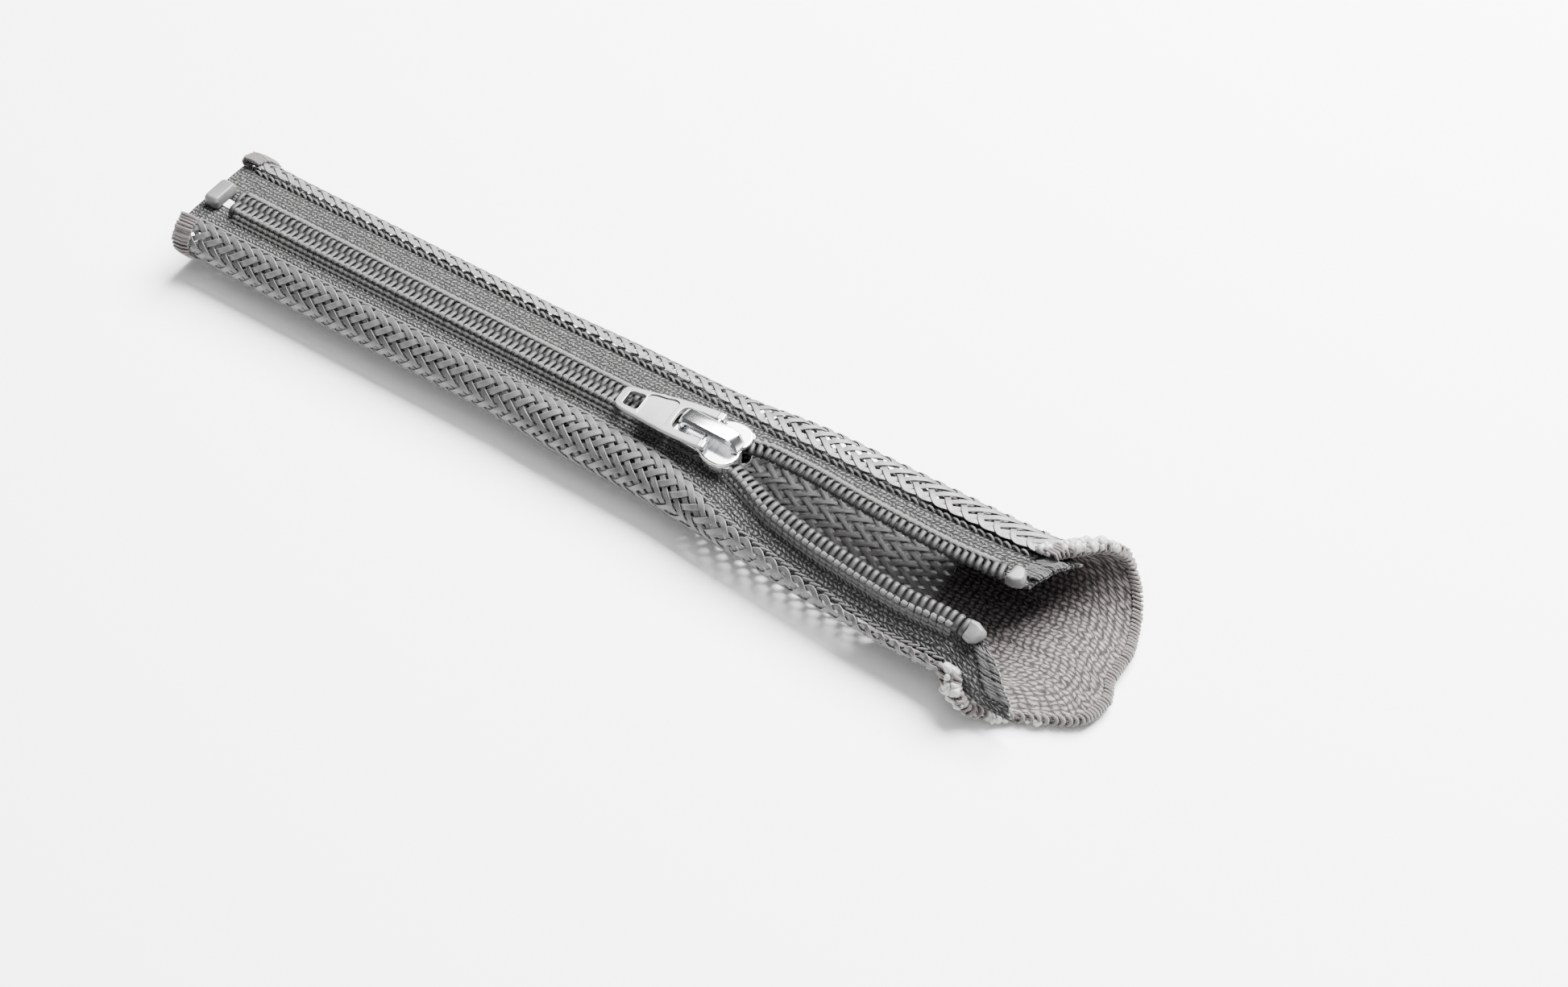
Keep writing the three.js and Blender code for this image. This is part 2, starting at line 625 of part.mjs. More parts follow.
/** A ribbed binding over one end of the braid; sign is +1 at the front and -1 at the rear. */
function hem(sign, steps) {
  const edge = sign > 0 ? OPEN_LENGTH : -CLOSED_LENGTH + CLEARANCE + HEM_THICKNESS;
  const rings = [];
  const inside = BRAID_THICKNESS + CLEARANCE + 0.25;
  let cap = [];
  for (let k = 0; k <= steps; k += 1) {
    const rib = k % 2 ? HEM_RIB : 0;
    const high = inside + HEM_THICKNESS + rib;
    const step = sign > 0 ? 2.2 * CLEARANCE : CLEARANCE;
    const tip = step + HEM_THICKNESS + rib;
    const outline = [
      [-HEM_LAP, inside], [-HEM_LAP - rib / 2, high - 0.2], [0.2, high],
      [tip, high - 0.7], [tip, 0], [step, 0], [step, inside],
    ];
    cap = capOf(outline);
    rings.push(outline.map(([t, lift]) => rimPoint(edge, sign, t, k / steps, lift)));
  }
  return new Body().loft(rings, cap).geometry();
}

/** A point at one end of the braid, t beyond its edge and share of the way round it. */
function rimPoint(edge, sign, t, share, lift) {
  const nearLine = near.line(edge);
  const farLine = far.line(edge);
  const nearGirth = nearLine.total - nearLine.seam;
  const farGirth = farLine.total - farLine.seam;
  const d = (nearGirth + farGirth) * share;
  const half = d <= nearGirth ? near : far;
  const part = d <= nearGirth ? d / nearGirth : (nearGirth + farGirth - d) / farGirth;
  const stretch = sign > 0 ? 1 + 1.5 * half.reach(1 + part) * LIP_LENGTH / OPEN_LENGTH : 1;
  const s = edge + sign * t / stretch;
  const line = half.line(s);
  return half.point(s, line.seam + part * (line.total - line.seam), lift);
}

const PLATE_LOW = COIL_HEIGHT + SLIDER_PLAY;
const PLATE_HIGH = PLATE_LOW + PLATE_THICKNESS;
const WING_HIGH = TAPE_BOTTOM - SLIDER_PLAY;
const WING_LOW = WING_HIGH - PLATE_THICKNESS;
const PIVOT_X = -SLIDER_LENGTH / 2 - 0.05;
const PIVOT_Z = PLATE_HIGH + SLIDER_PLAY + PIVOT_RADIUS + 0.05;
const PAWL_LOW = PLATE_HIGH + CLEARANCE;
const CAP_LOW = PIVOT_Z + PIVOT_RADIUS + CLEARANCE;
const CAP_HIGH = CAP_LOW + CAP_THICKNESS;
const PAWL_X = PIVOT_X - PIVOT_RADIUS - 1.25;

/** The slider's body: two plates joined by the post, with flanges that keep the coils in. */
function sliderBody() {
  const long = SLIDER_LENGTH;
  const wide = SLIDER_HALF_WIDTH;
  const sides = [
    [-long, 0.56 * wide], [-0.96 * long, 0.69 * wide], [-0.62 * long, 0.73 * wide],
    [-0.42 * long, 0.85 * wide], [-0.21 * long, 0.97 * wide], [-0.08 * long, wide],
    [-0.02 * long, 0.88 * wide], [0, 0.55 * wide],
  ];
  const plan = evenOutline(sides);
  const wing = evenOutline(sides.map(([x, w]) => [x, 0.86 * w]));
  const room = COIL_WIDTH + SLIDER_PLAY + 0.05;
  const channel = evenOutline([
    [-long - 1, room], [-0.62 * long, room], [-0.35 * long, room + 0.85],
    [-0.07 * long, room + 1.7], [1, room + 1.8],
  ]);
  const post = evenOutline([
    [-0.055 * long - POST_LENGTH, 0.06], [-0.21 * long, 0.6], [-0.07 * long, 1], [-0.055 * long, 0.8],
  ]);
  const flanges = slab(plan, TAPE_TOP + SLIDER_PLAY, PLATE_LOW + 0.1).subtract(slab(channel, -9, 9));
  const solid = slab(plan, PLATE_LOW, PLATE_HIGH)
    .add(flanges)
    .add(slab(post, WING_LOW + 0.1, PLATE_LOW + 0.1))
    .add(slab(wing, WING_LOW, WING_HIGH));
  const window = [[PAWL_X - 0.75, -0.95], [PAWL_X + 0.75, -0.95], [PAWL_X + 0.75, 0.95], [PAWL_X - 0.75, 0.95]];
  return fromManifold(solid.subtract(slab(window, PLATE_LOW - 1, PLATE_HIGH + 1)));
}

/** The long bevelled cap over the pull's bar. */
function sliderCap() {
  const rear = -SLIDER_LENGTH + 0.5;
  const nose = -0.6;
  const foot = PLATE_HIGH + CLEARANCE;
  const leg = 1.2;
  const wide = CAP_WIDTH / 2;
  const rows = [
    [rear, foot, CAP_HIGH - 1.5, 0.8], [rear + 0.5, foot, CAP_HIGH - 0.6, 0.95],
    [rear + leg, foot, CAP_HIGH - 0.15, 1], [rear + leg + 0.05, CAP_LOW - 0.2, CAP_HIGH - 0.14, 1],
    [rear + leg + 0.8, CAP_LOW, CAP_HIGH, 1], [nose - leg - 1.4, CAP_LOW, CAP_HIGH - 0.05, 1],
    [nose - leg - 0.05, CAP_LOW - 0.4, CAP_HIGH - 0.6, 0.97], [nose - leg, foot, CAP_HIGH - 0.65, 0.96],
    [nose - 0.5, foot, CAP_HIGH - 1.5, 0.86], [nose, foot, CAP_HIGH - 2.4, 0.72],
  ];
  const ring = ([x, low, high, share]) => {
    const w = wide * share;
    const bevel = Math.min(0.65, (high - low) * 0.55);
    return [
      [-w, low], [w, low], [w, high - bevel], [w - bevel, high], [bevel - w, high], [-w, high - bevel],
    ].map(([y, z]) => new THREE.Vector3(x, y, z));
  };
  const cap = [[0, 1, 2], [0, 2, 5], [5, 2, 3], [5, 3, 4]];
  return new Body().loft(rows.map(ring), cap).geometry();
}

/** The locking leaf: an arm on the top plate with a tooth that reaches down to the coils. */
function lockPawl() {
  const half = 0.6;
  const tooth = PAWL_X;
  const tail = -SLIDER_LENGTH + 2.1;
  const top = PAWL_LOW + PAWL_THICKNESS;
  const outline = [
    [tooth - 0.35, PLATE_LOW], [tooth + 0.35, PLATE_LOW], [tooth + 0.35, top], [tail, top],
    [tail, PAWL_LOW], [tooth - 0.35, PAWL_LOW],
  ];
  const rings = [-half, half].map((y) => outline.map(([x, z]) => new THREE.Vector3(x, y, z)));
  return new Body().loft(rings, capOf(outline)).geometry();
}

/** The pull, with its bar at the origin and its free end toward -X, a little to the near side. */
function pullTab() {
  const long = PULL_LENGTH;
  const wide = PULL_HALF_WIDTH;
  const thick = PULL_THICKNESS / 2;
  const slant = Math.sin(THREE.MathUtils.degToRad(PULL_SLANT_DEG)) * SLIDER_LENGTH / 2;
  const slot = CAP_WIDTH / 2 + slant + 0.45;
  const slotEnd = -SLIDER_LENGTH / 2 - 0.45;
  const plan = evenOutline([
    [-long, 0.34 * wide], [-0.985 * long, 0.5 * wide], [-0.95 * long, 0.57 * wide], [-0.75 * long, 0.7 * wide],
    [-0.45 * long, 0.89 * wide], [-0.1 * long, wide], [0.06 * long, wide],
  ]);
  const bail = evenOutline([
    [slotEnd, 0.55 * slot], [slotEnd + 0.25, 0.8 * slot], [slotEnd + 0.8, slot], [0.1 * long, slot],
  ]);
  const hole = evenOutline([
    [-0.905 * long, 0.3 * wide], [-0.885 * long, 0.38 * wide], [-0.79 * long, 0.45 * wide],
    [-0.77 * long, 0.38 * wide],
  ]);
  const panel = evenOutline([
    [-0.74 * long, 0.56 * wide], [-0.72 * long, 0.6 * wide], [-0.455 * long, 0.76 * wide],
    [-0.43 * long, 0.7 * wide],
  ]);
  const roundBar = (length, radius) => Manifold.cylinder(length, radius, radius, 18, true).rotate([90, 0, 0]);
  const ears = slab(evenOutline([[0, slot], [long, slot]]).map(([x, y]) => [x - long / 2, y]), -2, 2);
  const knuckles = roundBar(2 * wide - 0.5, KNUCKLE_RADIUS).subtract(ears);
  const reach = slab(evenOutline([[-2 * long, 2 * wide], [PIVOT_RADIUS, 2 * wide]]), -2, 2);
  const solid = slab(plan, -thick, thick)
    .subtract(slab(bail, -2, 2))
    .subtract(slab(hole, -2, 2))
    .subtract(slab(panel, thick - 0.2, 2))
    .rotate([0, 0, PULL_SLANT_DEG])
    .intersect(reach)
    .add(knuckles)
    .add(roundBar(2 * slot + 0.6, PIVOT_RADIUS));
  return fromManifold(solid);
}

const slider = new THREE.Group();
slider.position.set(NOSE_X, 0, ZIP_LEVEL);
slider.add(named('slider_body', sliderBody(), 'nickel'));
slider.add(named('slider_cap', sliderCap(), 'nickel'));
slider.add(named('lock_pawl', lockPawl(), 'nickel'));
const pull = named('pull_tab', pullTab(), 'satin');
pull.position.set(PIVOT_X, 0, PIVOT_Z);
pull.rotation.y = -THREE.MathUtils.degToRad(PULL_TILT_DEG);
slider.add(pull);

const closedEnd = named('bottom_stop', bottomStop(), 'stop');
closedEnd.position.set(NOSE_X - CLOSED_LENGTH + 1.4, 0, ZIP_LEVEL);

const group = new THREE.Group();
group.name = 'zippered_cable_sleeve';
group.add(named('braided_wall', braidedWall(), 'braid'));
group.add(named('zip_tape_near', zipTape(near, NEAR_TAPE_ENDS), 'tape'));
group.add(named('zip_tape_far', zipTape(far, FAR_TAPE_ENDS), 'tape'));
group.add(named('zip_coil_near', zipCoil(near, true), 'coil'));
group.add(named('zip_coil_far', zipCoil(far, false), 'coil'));
group.add(named('top_stop_near', topStop(near), 'stop'));
group.add(named('top_stop_far', topStop(far), 'stop'));
group.add(closedEnd);
group.add(named('front_hem', hem(1, 36), 'hem'));
group.add(named('rear_hem', hem(-1, 36), 'hem'));
group.add(slider);

export default group;
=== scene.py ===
"""Looks of the zippered cable sleeve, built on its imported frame.

The cloth's shape repeats the sizes of the part's source, in millimetres, so that every yarn,
coil loop and stitch lies on the same surface as the solids do. Meshes are made in metres.
"""

import json
import logging
import math
from collections.abc import Sequence
from dataclasses import dataclass, field
from enum import Enum

import bmesh
import bpy
import numpy as np
from mathutils import Matrix, Vector

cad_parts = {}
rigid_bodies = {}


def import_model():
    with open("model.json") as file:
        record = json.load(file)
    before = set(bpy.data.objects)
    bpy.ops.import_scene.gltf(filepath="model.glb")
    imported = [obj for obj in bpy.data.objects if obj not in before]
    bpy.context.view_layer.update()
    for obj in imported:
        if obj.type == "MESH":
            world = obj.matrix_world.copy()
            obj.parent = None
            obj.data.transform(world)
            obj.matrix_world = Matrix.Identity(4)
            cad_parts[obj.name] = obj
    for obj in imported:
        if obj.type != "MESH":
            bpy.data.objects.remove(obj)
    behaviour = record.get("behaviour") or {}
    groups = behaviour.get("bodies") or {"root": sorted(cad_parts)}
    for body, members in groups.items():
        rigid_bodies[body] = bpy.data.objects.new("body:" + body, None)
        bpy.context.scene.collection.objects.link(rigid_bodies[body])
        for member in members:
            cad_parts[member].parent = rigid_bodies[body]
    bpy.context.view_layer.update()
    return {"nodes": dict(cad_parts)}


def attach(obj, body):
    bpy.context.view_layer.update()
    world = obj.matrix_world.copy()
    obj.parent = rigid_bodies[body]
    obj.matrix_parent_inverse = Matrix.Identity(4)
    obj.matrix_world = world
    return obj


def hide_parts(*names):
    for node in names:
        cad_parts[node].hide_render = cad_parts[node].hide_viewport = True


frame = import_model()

MM = 0.001
LOWEST = 0.00001  # height over the floor, in metres, that soft pieces are pressed up to
LINE_SHIFT = 31.7  # millimetres from one yarn to the next on the streaks' map
SMALL = 1e-6
SHARP_DEG = 40  # edges of the castings above this angle stay sharp
LOG = logging.getLogger("sleeve")
Loop = Sequence[tuple[float, float]]
Colour = tuple[float, float, float]


class Body(Enum):
    """The moving bodies that pieces ride on."""

    SLEEVE = "sleeve"
    SLIDER = "slider"
    PULL = "pull"


class Slot(Enum):
    """The record's material slots."""

    BRAID = "braid"
    TAPE = "tape"
    COIL = "coil"
    STOP = "stop"
    HEM = "hem"
    NICKEL = "nickel"
    SATIN = "satin"


@dataclass(frozen=True)
class Curve:
    """A smooth monotone line through rows of (place, value), flat beyond both ends."""

    rows: tuple[tuple[float, float], ...]

    def __call__(self, at: np.ndarray) -> np.ndarray:
        """Values of the line.

        Args:
            at: Places to look up.

        Returns:
            One value for each place.
        """
        x = np.array([r[0] for r in self.rows], float)
        y = np.array([r[1] for r in self.rows], float)
        slope = np.diff(y) / np.diff(x)
        before, after = slope[:-1], slope[1:]
        same = before * after > 0
        total = np.where(same, before + after, 1.0)
        tangent = np.concatenate([[0.0], np.where(same, 2 * before * after / total, 0.0), [0.0]])
        at = np.clip(np.asarray(at, float), x[0], x[-1])
        k = np.clip(np.searchsorted(x, at, side="left") - 1, 0, len(x) - 2)
        span = x[k + 1] - x[k]
        t = (at - x[k]) / span
        t2, t3 = t * t, t * t * t
        return (
            (2 * t3 - 3 * t2 + 1) * y[k]
            + (t3 - 2 * t2 + t) * span * tangent[k]
            + (3 * t2 - 2 * t3) * y[k + 1]
            + (t3 - t2) * span * tangent[k + 1]
        )


@dataclass(frozen=True)
class Sizes:
    """The driving sizes of the part, in millimetres."""

    sleeve_length: float = 210
    zip_level: float = 12.4
    open_length: float = 57
    lip_length: float = 21
    clearance: float = 0.3
    braid_thickness: float = 1
    cell_length: float = 1.57
    cell_width: float = 1.05
    tape_edge: float = 1.5
    coil_pitch: float = 1.5
    stop_length: float = 3.6
    hem_lap: float = 3.2
    hem_thickness: float = 0.75
    hem_rib: float = 0.4
    rise_length: float = 14
    slider_length: float = 14.4
    floor_middle: float = 1.7

    @property
    def closed_length(self) -> float:
        """Length of the closed chain."""
        return self.sleeve_length - self.open_length - self.lip_length

    @property
    def nose_x(self) -> float:
        """Where the slider's nose is along the sleeve."""
        return self.sleeve_length / 2 - self.open_length - self.lip_length

    @property
    def rear(self) -> float:
        """Station of the braid's rear edge."""
        return -self.closed_length + self.clearance + self.hem_thickness


SIZES = Sizes()


def stations() -> list[float]:
    """Stations along the sleeve that the cloth's tables are given for, from the slider's nose."""
    z = SIZES
    closed = z.closed_length - z.slider_length
    back = [-z.slider_length - share * closed for share in (1, 0.35, 0.15)]
    ahead = [z.open_length * share for share in (0.06, 0.2, 0.45, 0.75, 0.9, 1, 1.12)]
    return [*back, -z.slider_length, -0.35 * z.slider_length, 0, *ahead]


@dataclass(frozen=True)
class HalfTable:
    """The lines that shape one half of the cloth: rows of Y, and of Z as a share of the height."""

    side: int
    zip_y: tuple[float, ...]
    zip_z: tuple[float, ...]
    points: tuple[tuple[tuple[float, ...], tuple[float, ...]], ...]
    reach: Curve
    seam_point: int = 1


NEAR_TABLE = HalfTable(
    side=-1,
    zip_y=tuple(-9.4 * v for v in (0, 0, 0, 0, 0.08, 0.2, 0.32, 0.6, 0.86, 1, 0.96, 1, 1.04)),
    zip_z=(1, 1, 1, 1, 1, 1, 1.01, 1.035, 1.06, 1.08, 1.08, 1.06, 1.02),
    points=(
        (
            (-5, -5, -5, -5, -5.4, -6.1, -6.8, -8.6, -11, -12.6, -12.5, -13.2, -14),
            (1, 1, 1, 1, 1, 0.99, 0.98, 0.95, 0.92, 0.9, 0.9, 0.86, 0.78),
        ),
        (
            (-7.4, -7.4, -6.7, -7.3, -9.6, -11.4, -12.2, -13.5, -15.1, -16.7, -16.6, -17, -18),
            (0.965, 0.965, 0.97, 0.965, 0.93, 0.875, 0.85, 0.77, 0.7, 0.65, 0.64, 0.62, 0.52),
        ),
        (
            (-9.4, -9.5, -10, -10.4, -11.9, -12.9, -13.4, -14.3, -15.7, -16.9, -16.9, -18.2, -19.4),
            (0.82, 0.82, 0.82, 0.82, 0.79, 0.74, 0.71, 0.65, 0.6, 0.57, 0.56, 0.5, 0.42),
        ),
        (
            (-10.8, -11, -12, -12.3, -13, -13.5, -13.8, -14.4, -15.6, -16.2, -16.9, -19, -20.2),
            (0.53, 0.53, 0.53, 0.53, 0.52, 0.51, 0.5, 0.48, 0.46, 0.45, 0.44, 0.36, 0.32),
        ),
        (
            (-8.2, -8.4, -9.7, -10, -10.8, -11.3, -11.6, -12, -13, -13.3, -14.8, -18.4, -19.8),
            (0.19, 0.19, 0.19, 0.19, 0.19, 0.19, 0.185, 0.18, 0.17, 0.17, 0.16, 0.14, 0.13),
        ),
        ((-4.6, -4.8, -6, -6.3, -7, -7.4, -7.6, -8, -8.5, -8.8, -10.6, -14.6, -16), (0,) * 13),
        ((-1.5, -1.5, -2, -2, -2, -2, -2, -2, -2, -2.4, -4, -7, -8), (0,) * 13),
    ),
    reach=Curve(
        ((0, 0), (1, 0), (1.17, 0.14), (1.28, 0.34), (1.45, 0.76), (1.6, 1.02), (1.8, 1.08), (2, 1))
    ),
)
FAR_TABLE = HalfTable(
    side=1,
    zip_y=(0, 0, 0, 0, 0.75, 1.88, 2.6, 2.5, 1.6, 1.2, 1.7, 2.4, 2.8),
    zip_z=(1, 1, 1, 1, 1, 1, 1, 1.01, 1.03, 1.04, 1.05, 1.04, 1),
    points=(
        (
            (5, 5, 5, 5, 5.5, 6.3, 6.6, 6.6, 6.2, 6, 6.4, 7, 7.4),
            (1, 1, 1, 1, 1, 1, 1.005, 1.015, 1.03, 1.04, 1.06, 1.08, 1.08),
        ),
        (
            (10.3, 10.3, 10.6, 10.3, 9.9, 9.7, 9.7, 9.7, 9.9, 10.1, 10.3, 10.9, 11.2),
            (0.98, 0.98, 0.98, 0.98, 0.985, 0.99, 1, 1.01, 1.02, 1.04, 1.06, 1.09, 1.1),
        ),
        (
            (12.9, 12.9, 13.4, 13.4, 13.7, 14.1, 14.4, 14.8, 15, 15.2, 15.4, 17.4, 18.4),
            (0.85, 0.84, 0.86, 0.87, 0.89, 0.92, 0.93, 0.95, 0.95, 0.96, 0.97, 1.06, 1.08),
        ),
        (
            (14.8, 14.8, 15.3, 15.4, 15.7, 16, 16.3, 16.6, 16.7, 16.9, 17.4, 20.4, 21.4),
            (0.51, 0.51, 0.52, 0.52, 0.53, 0.54, 0.55, 0.56, 0.57, 0.58, 0.6, 0.74, 0.78),
        ),
        (
            (12.9, 12.9, 13.3, 13.4, 13.6, 13.8, 14, 14.2, 14.3, 14.5, 15, 17.6, 18.4),
            (0.19, 0.19, 0.19, 0.19, 0.19, 0.19, 0.19, 0.19, 0.19, 0.2, 0.2, 0.26, 0.28),
        ),
        ((9, 9, 9.4, 9.5, 9.6, 9.8, 9.9, 10, 10, 10, 10.4, 12, 12.6), (0,) * 13),
        ((5, 5, 5.2, 5.2, 5.2, 5.2, 5.2, 5.2, 5.2, 5.2, 5.4, 6, 6), (0,) * 13),
    ),
    reach=Curve(
        (
            (0, 0),
            (1, 0.12),
            (1.12, 0.28),
            (1.25, 0.48),
            (1.45, 0.76),
            (1.62, 0.9),
            (1.85, 1),
            (2, 1),
        )
    ),
)


class ClothHalf:
    """One half of the cloth's surface, from the zip over the seam down to the floor's middle."""

    ZIP_COLUMNS = 24
    WALL_COLUMNS = 60
    STEP = 0.5
    LINE_STEPS = 6
    RISE_PLAY = 0.25
    RISE_START = 0.42
    LIP_POWER = 1.5

    def __init__(self, table: HalfTable) -> None:
        """Sample the half on a grid of stations and shares.

        Args:
            table: The lines that shape this half.
        """
        self.table = table
        self.stations = np.arange(-SIZES.closed_length - 3, SIZES.open_length + 5, self.STEP)
        self._sample()

    def _rise(self) -> np.ndarray:
        """How far the floor is lifted near both ends, to clear the binding below it."""
        z = SIZES
        full = z.clearance + z.hem_thickness + z.hem_rib + self.RISE_PLAY
        rear = (self.stations + z.closed_length) / z.rise_length
        front = (z.open_length - self.stations) / z.rise_length
        t = np.clip((np.minimum(rear, front) - self.RISE_START) / (1 - self.RISE_START), 0, 1)
        return full * (1 - t * t * (3 - 2 * t))

    def _sample(self) -> None:
        """Trace the line of the cloth at every station and keep it at even shares."""
        at = stations()
        column = lambda values: Curve(tuple(zip(at, values)))(self.stations)
        base = SIZES.braid_thickness + self._rise()
        level = lambda share: base + share * (SIZES.zip_level - base)
        table = self.table
        knots = [np.stack([column(table.zip_y), level(column(table.zip_z))], 1)]
        rest = [np.stack([column(y), level(column(z))], 1) for y, z in table.points]
        knots += [(knots[0] + rest[0]) / 2, *rest]
        knots.append(np.stack([np.full_like(base, SIZES.floor_middle), base], 1))
        k = np.stack(knots, 1)
        parts = []
        for i in range(k.shape[1] - 1):
            p0, p1 = k[:, max(i - 1, 0)], k[:, i]
            p2, p3 = k[:, i + 1], k[:, min(i + 2, k.shape[1] - 1)]
            for q in range(self.LINE_STEPS):
                t = q / self.LINE_STEPS
                t2, t3 = t * t, t**3
                parts.append(
                    (2 * t3 - 3 * t2 + 1) * p1
                    + (t3 - 2 * t2 + t) * (p2 - p0) / 2
                    + (3 * t2 - 2 * t3) * p2
                    + (t3 - t2) * (p3 - p1) / 2
                )
        parts.append(k[:, -1])
        path = np.stack(parts, 1)
        path[..., 1] = np.maximum(path[..., 1], base[:, None])
        hops = np.linalg.norm(np.diff(path, axis=1), axis=2)
        run = np.concatenate([np.zeros((len(base), 1)), np.cumsum(hops, 1)], 1)
        before = np.concatenate([path[:, :1], path[:, :-1]], 1)
        after = np.concatenate([path[:, 1:], path[:, -1:]], 1)
        way = after - before
        way /= np.linalg.norm(way, axis=2, keepdims=True)
        normal = np.stack([-table.side * way[..., 1], table.side * way[..., 0]], 2)
        self.seams = run[:, (2 + table.seam_point) * self.LINE_STEPS]
        self.totals = run[:, -1]
        shares = np.concatenate(
            [np.linspace(0, 1, self.ZIP_COLUMNS + 1), 1 + np.linspace(0, 1, self.WALL_COLUMNS + 1)[1:]]
        )
        rows = []
        for r in range(len(base)):
            seam, total = self.seams[r], self.totals[r]
            d = np.where(shares < 1, shares * seam, seam + (shares - 1) * (total - seam))
            values = [path[r, :, 0], path[r, :, 1], normal[r, :, 0], normal[r, :, 1]]
            rows.append(np.stack([np.interp(d, run[r], v) for v in values], 1))
        self.grid = np.stack(rows)

    def seam(self, s: np.ndarray) -> np.ndarray:
        """Distance from the zip to the seam at each station."""
        return np.interp(s, self.stations, self.seams)

    def total(self, s: np.ndarray) -> np.ndarray:
        """Distance from the zip to the floor's middle at each station."""
        return np.interp(s, self.stations, self.totals)

    def point(self, s: np.ndarray, d: np.ndarray, lift: np.ndarray) -> np.ndarray:
        """Points of the cloth.

        Args:
            s: Stations, measured from the slider's nose.
            d: Distances from the zip along the cloth's line.
            lift: Heights above the cloth's inner face.

        Returns:
            One point in millimetres for each row of the arguments.
        """
        s, d, lift = np.broadcast_arrays(*(np.asarray(v, float) for v in (s, d, lift)))
        seam, total = self.seam(s), self.total(s)
        inside = np.clip(d, 0, total)
        share = np.where(inside < seam, inside / seam, 1 + (inside - seam) / (total - seam))
        on_wall = self.ZIP_COLUMNS + (share - 1) * self.WALL_COLUMNS
        column = np.where(share < 1, share * self.ZIP_COLUMNS, on_wall)
        column = np.clip(column, 0, self.grid.shape[1] - 1 - SMALL)
        row = np.clip((s - self.stations[0]) / self.STEP, 0, len(self.stations) - 1 - SMALL)
        c0, r0 = column.astype(int), row.astype(int)
        c, r = (column - c0)[..., None], (row - r0)[..., None]
        g = self.grid
        found = (1 - r) * ((1 - c) * g[r0, c0] + c * g[r0, c0 + 1]) + r * (
            (1 - c) * g[r0 + 1, c0] + c * g[r0 + 1, c0 + 1]
        )
        y, z, ny, nz = (found[..., k] for k in range(4))
        size = np.hypot(ny, nz)
        ny, nz = ny / size, nz / size
        over = d - inside
        side = self.table.side
        opened = (np.maximum(s, 0) / SIZES.open_length) ** self.LIP_POWER
        x = SIZES.nose_x + s + self.table.reach(share) * SIZES.lip_length * opened
        return np.stack([x, y + ny * lift + side * nz * over, z + nz * lift - side * ny * over], -1)


NEAR = ClothHalf(NEAR_TABLE)
FAR = ClothHalf(FAR_TABLE)


def girths(s: np.ndarray) -> tuple[np.ndarray, np.ndarray]:
    """Lengths of the wall at each station, from the near and the far seam to the floor's middle."""
    return NEAR.total(s) - NEAR.seam(s), FAR.total(s) - FAR.seam(s)


def wall_point(s: np.ndarray, d: np.ndarray, lift: np.ndarray) -> np.ndarray:
    """Points of the braid's wall, on the near half and then on the far one.

    Args:
        s: Stations.
        d: Distances round the wall from the near seam.
        lift: Heights above the wall's inner face.

    Returns:
        One point in millimetres for each row of the arguments.
    """
    near_girth = girths(s)[0]
    near_point = NEAR.point(s, NEAR.seam(s) + np.minimum(d, near_girth), lift)
    far_point = FAR.point(s, FAR.total(s) - np.maximum(d - near_girth, 0), lift)
    return np.where((d <= near_girth)[:, None], near_point, far_point)


def unit(v: np.ndarray) -> np.ndarray:
    """Rows of v, each made one long."""
    return v / np.maximum(np.linalg.norm(v, axis=-1, keepdims=True), 1e-12)


@dataclass
class Lines:
    """Centre lines for a sweep: points in millimetres with an up direction and a thickness."""

    points: list[np.ndarray] = field(default_factory=list)
    ups: list[np.ndarray] = field(default_factory=list)
    scales: list[np.ndarray] = field(default_factory=list)

    def add(self, points: np.ndarray, above: np.ndarray, scale: float | np.ndarray = 1.0) -> None:
        """Add one line.

        Args:
            points: Its points.
            above: The same points, moved a little to the side that counts as up.
            scale: Thickness, for the whole line or for each point.
        """
        along = unit(np.gradient(points, axis=0))
        up = unit(above - points)
        up = unit(up - (up * along).sum(-1, keepdims=True) * along)
        self.points.append(points)
        self.ups.append(up)
        self.scales.append(np.broadcast_to(np.asarray(scale, float), len(points)))

    def mesh(self, name: str) -> bpy.types.Mesh:
        """The lines as a mesh of edges, with the attributes that the sweep reads."""
        starts = np.cumsum([0] + [len(p) for p in self.points])
        edges = [(int(a) + k, int(a) + k + 1) for a, b in zip(starts, starts[1:]) for k in range(b - a - 1)]
        mesh = bpy.data.meshes.new(name)
        mesh.from_pydata((np.concatenate(self.points) * MM).tolist(), edges, [])
        up = mesh.attributes.new("up", "FLOAT_VECTOR", "POINT")
        up.data.foreach_set("vector", np.concatenate(self.ups).astype(np.float32).ravel())
        scale = mesh.attributes.new("thick", "FLOAT", "POINT")
        scale.data.foreach_set("value", np.concatenate(self.scales).astype(np.float32))
        hops = [np.linalg.norm(np.diff(p, axis=0), axis=1) for p in self.points]
        runs = [np.concatenate([[0], np.cumsum(h)]) + LINE_SHIFT * k for k, h in enumerate(hops)]
        along = mesh.attributes.new("along", "FLOAT", "POINT")
        along.data.foreach_set("value", np.concatenate(runs).astype(np.float32))
        return mesh


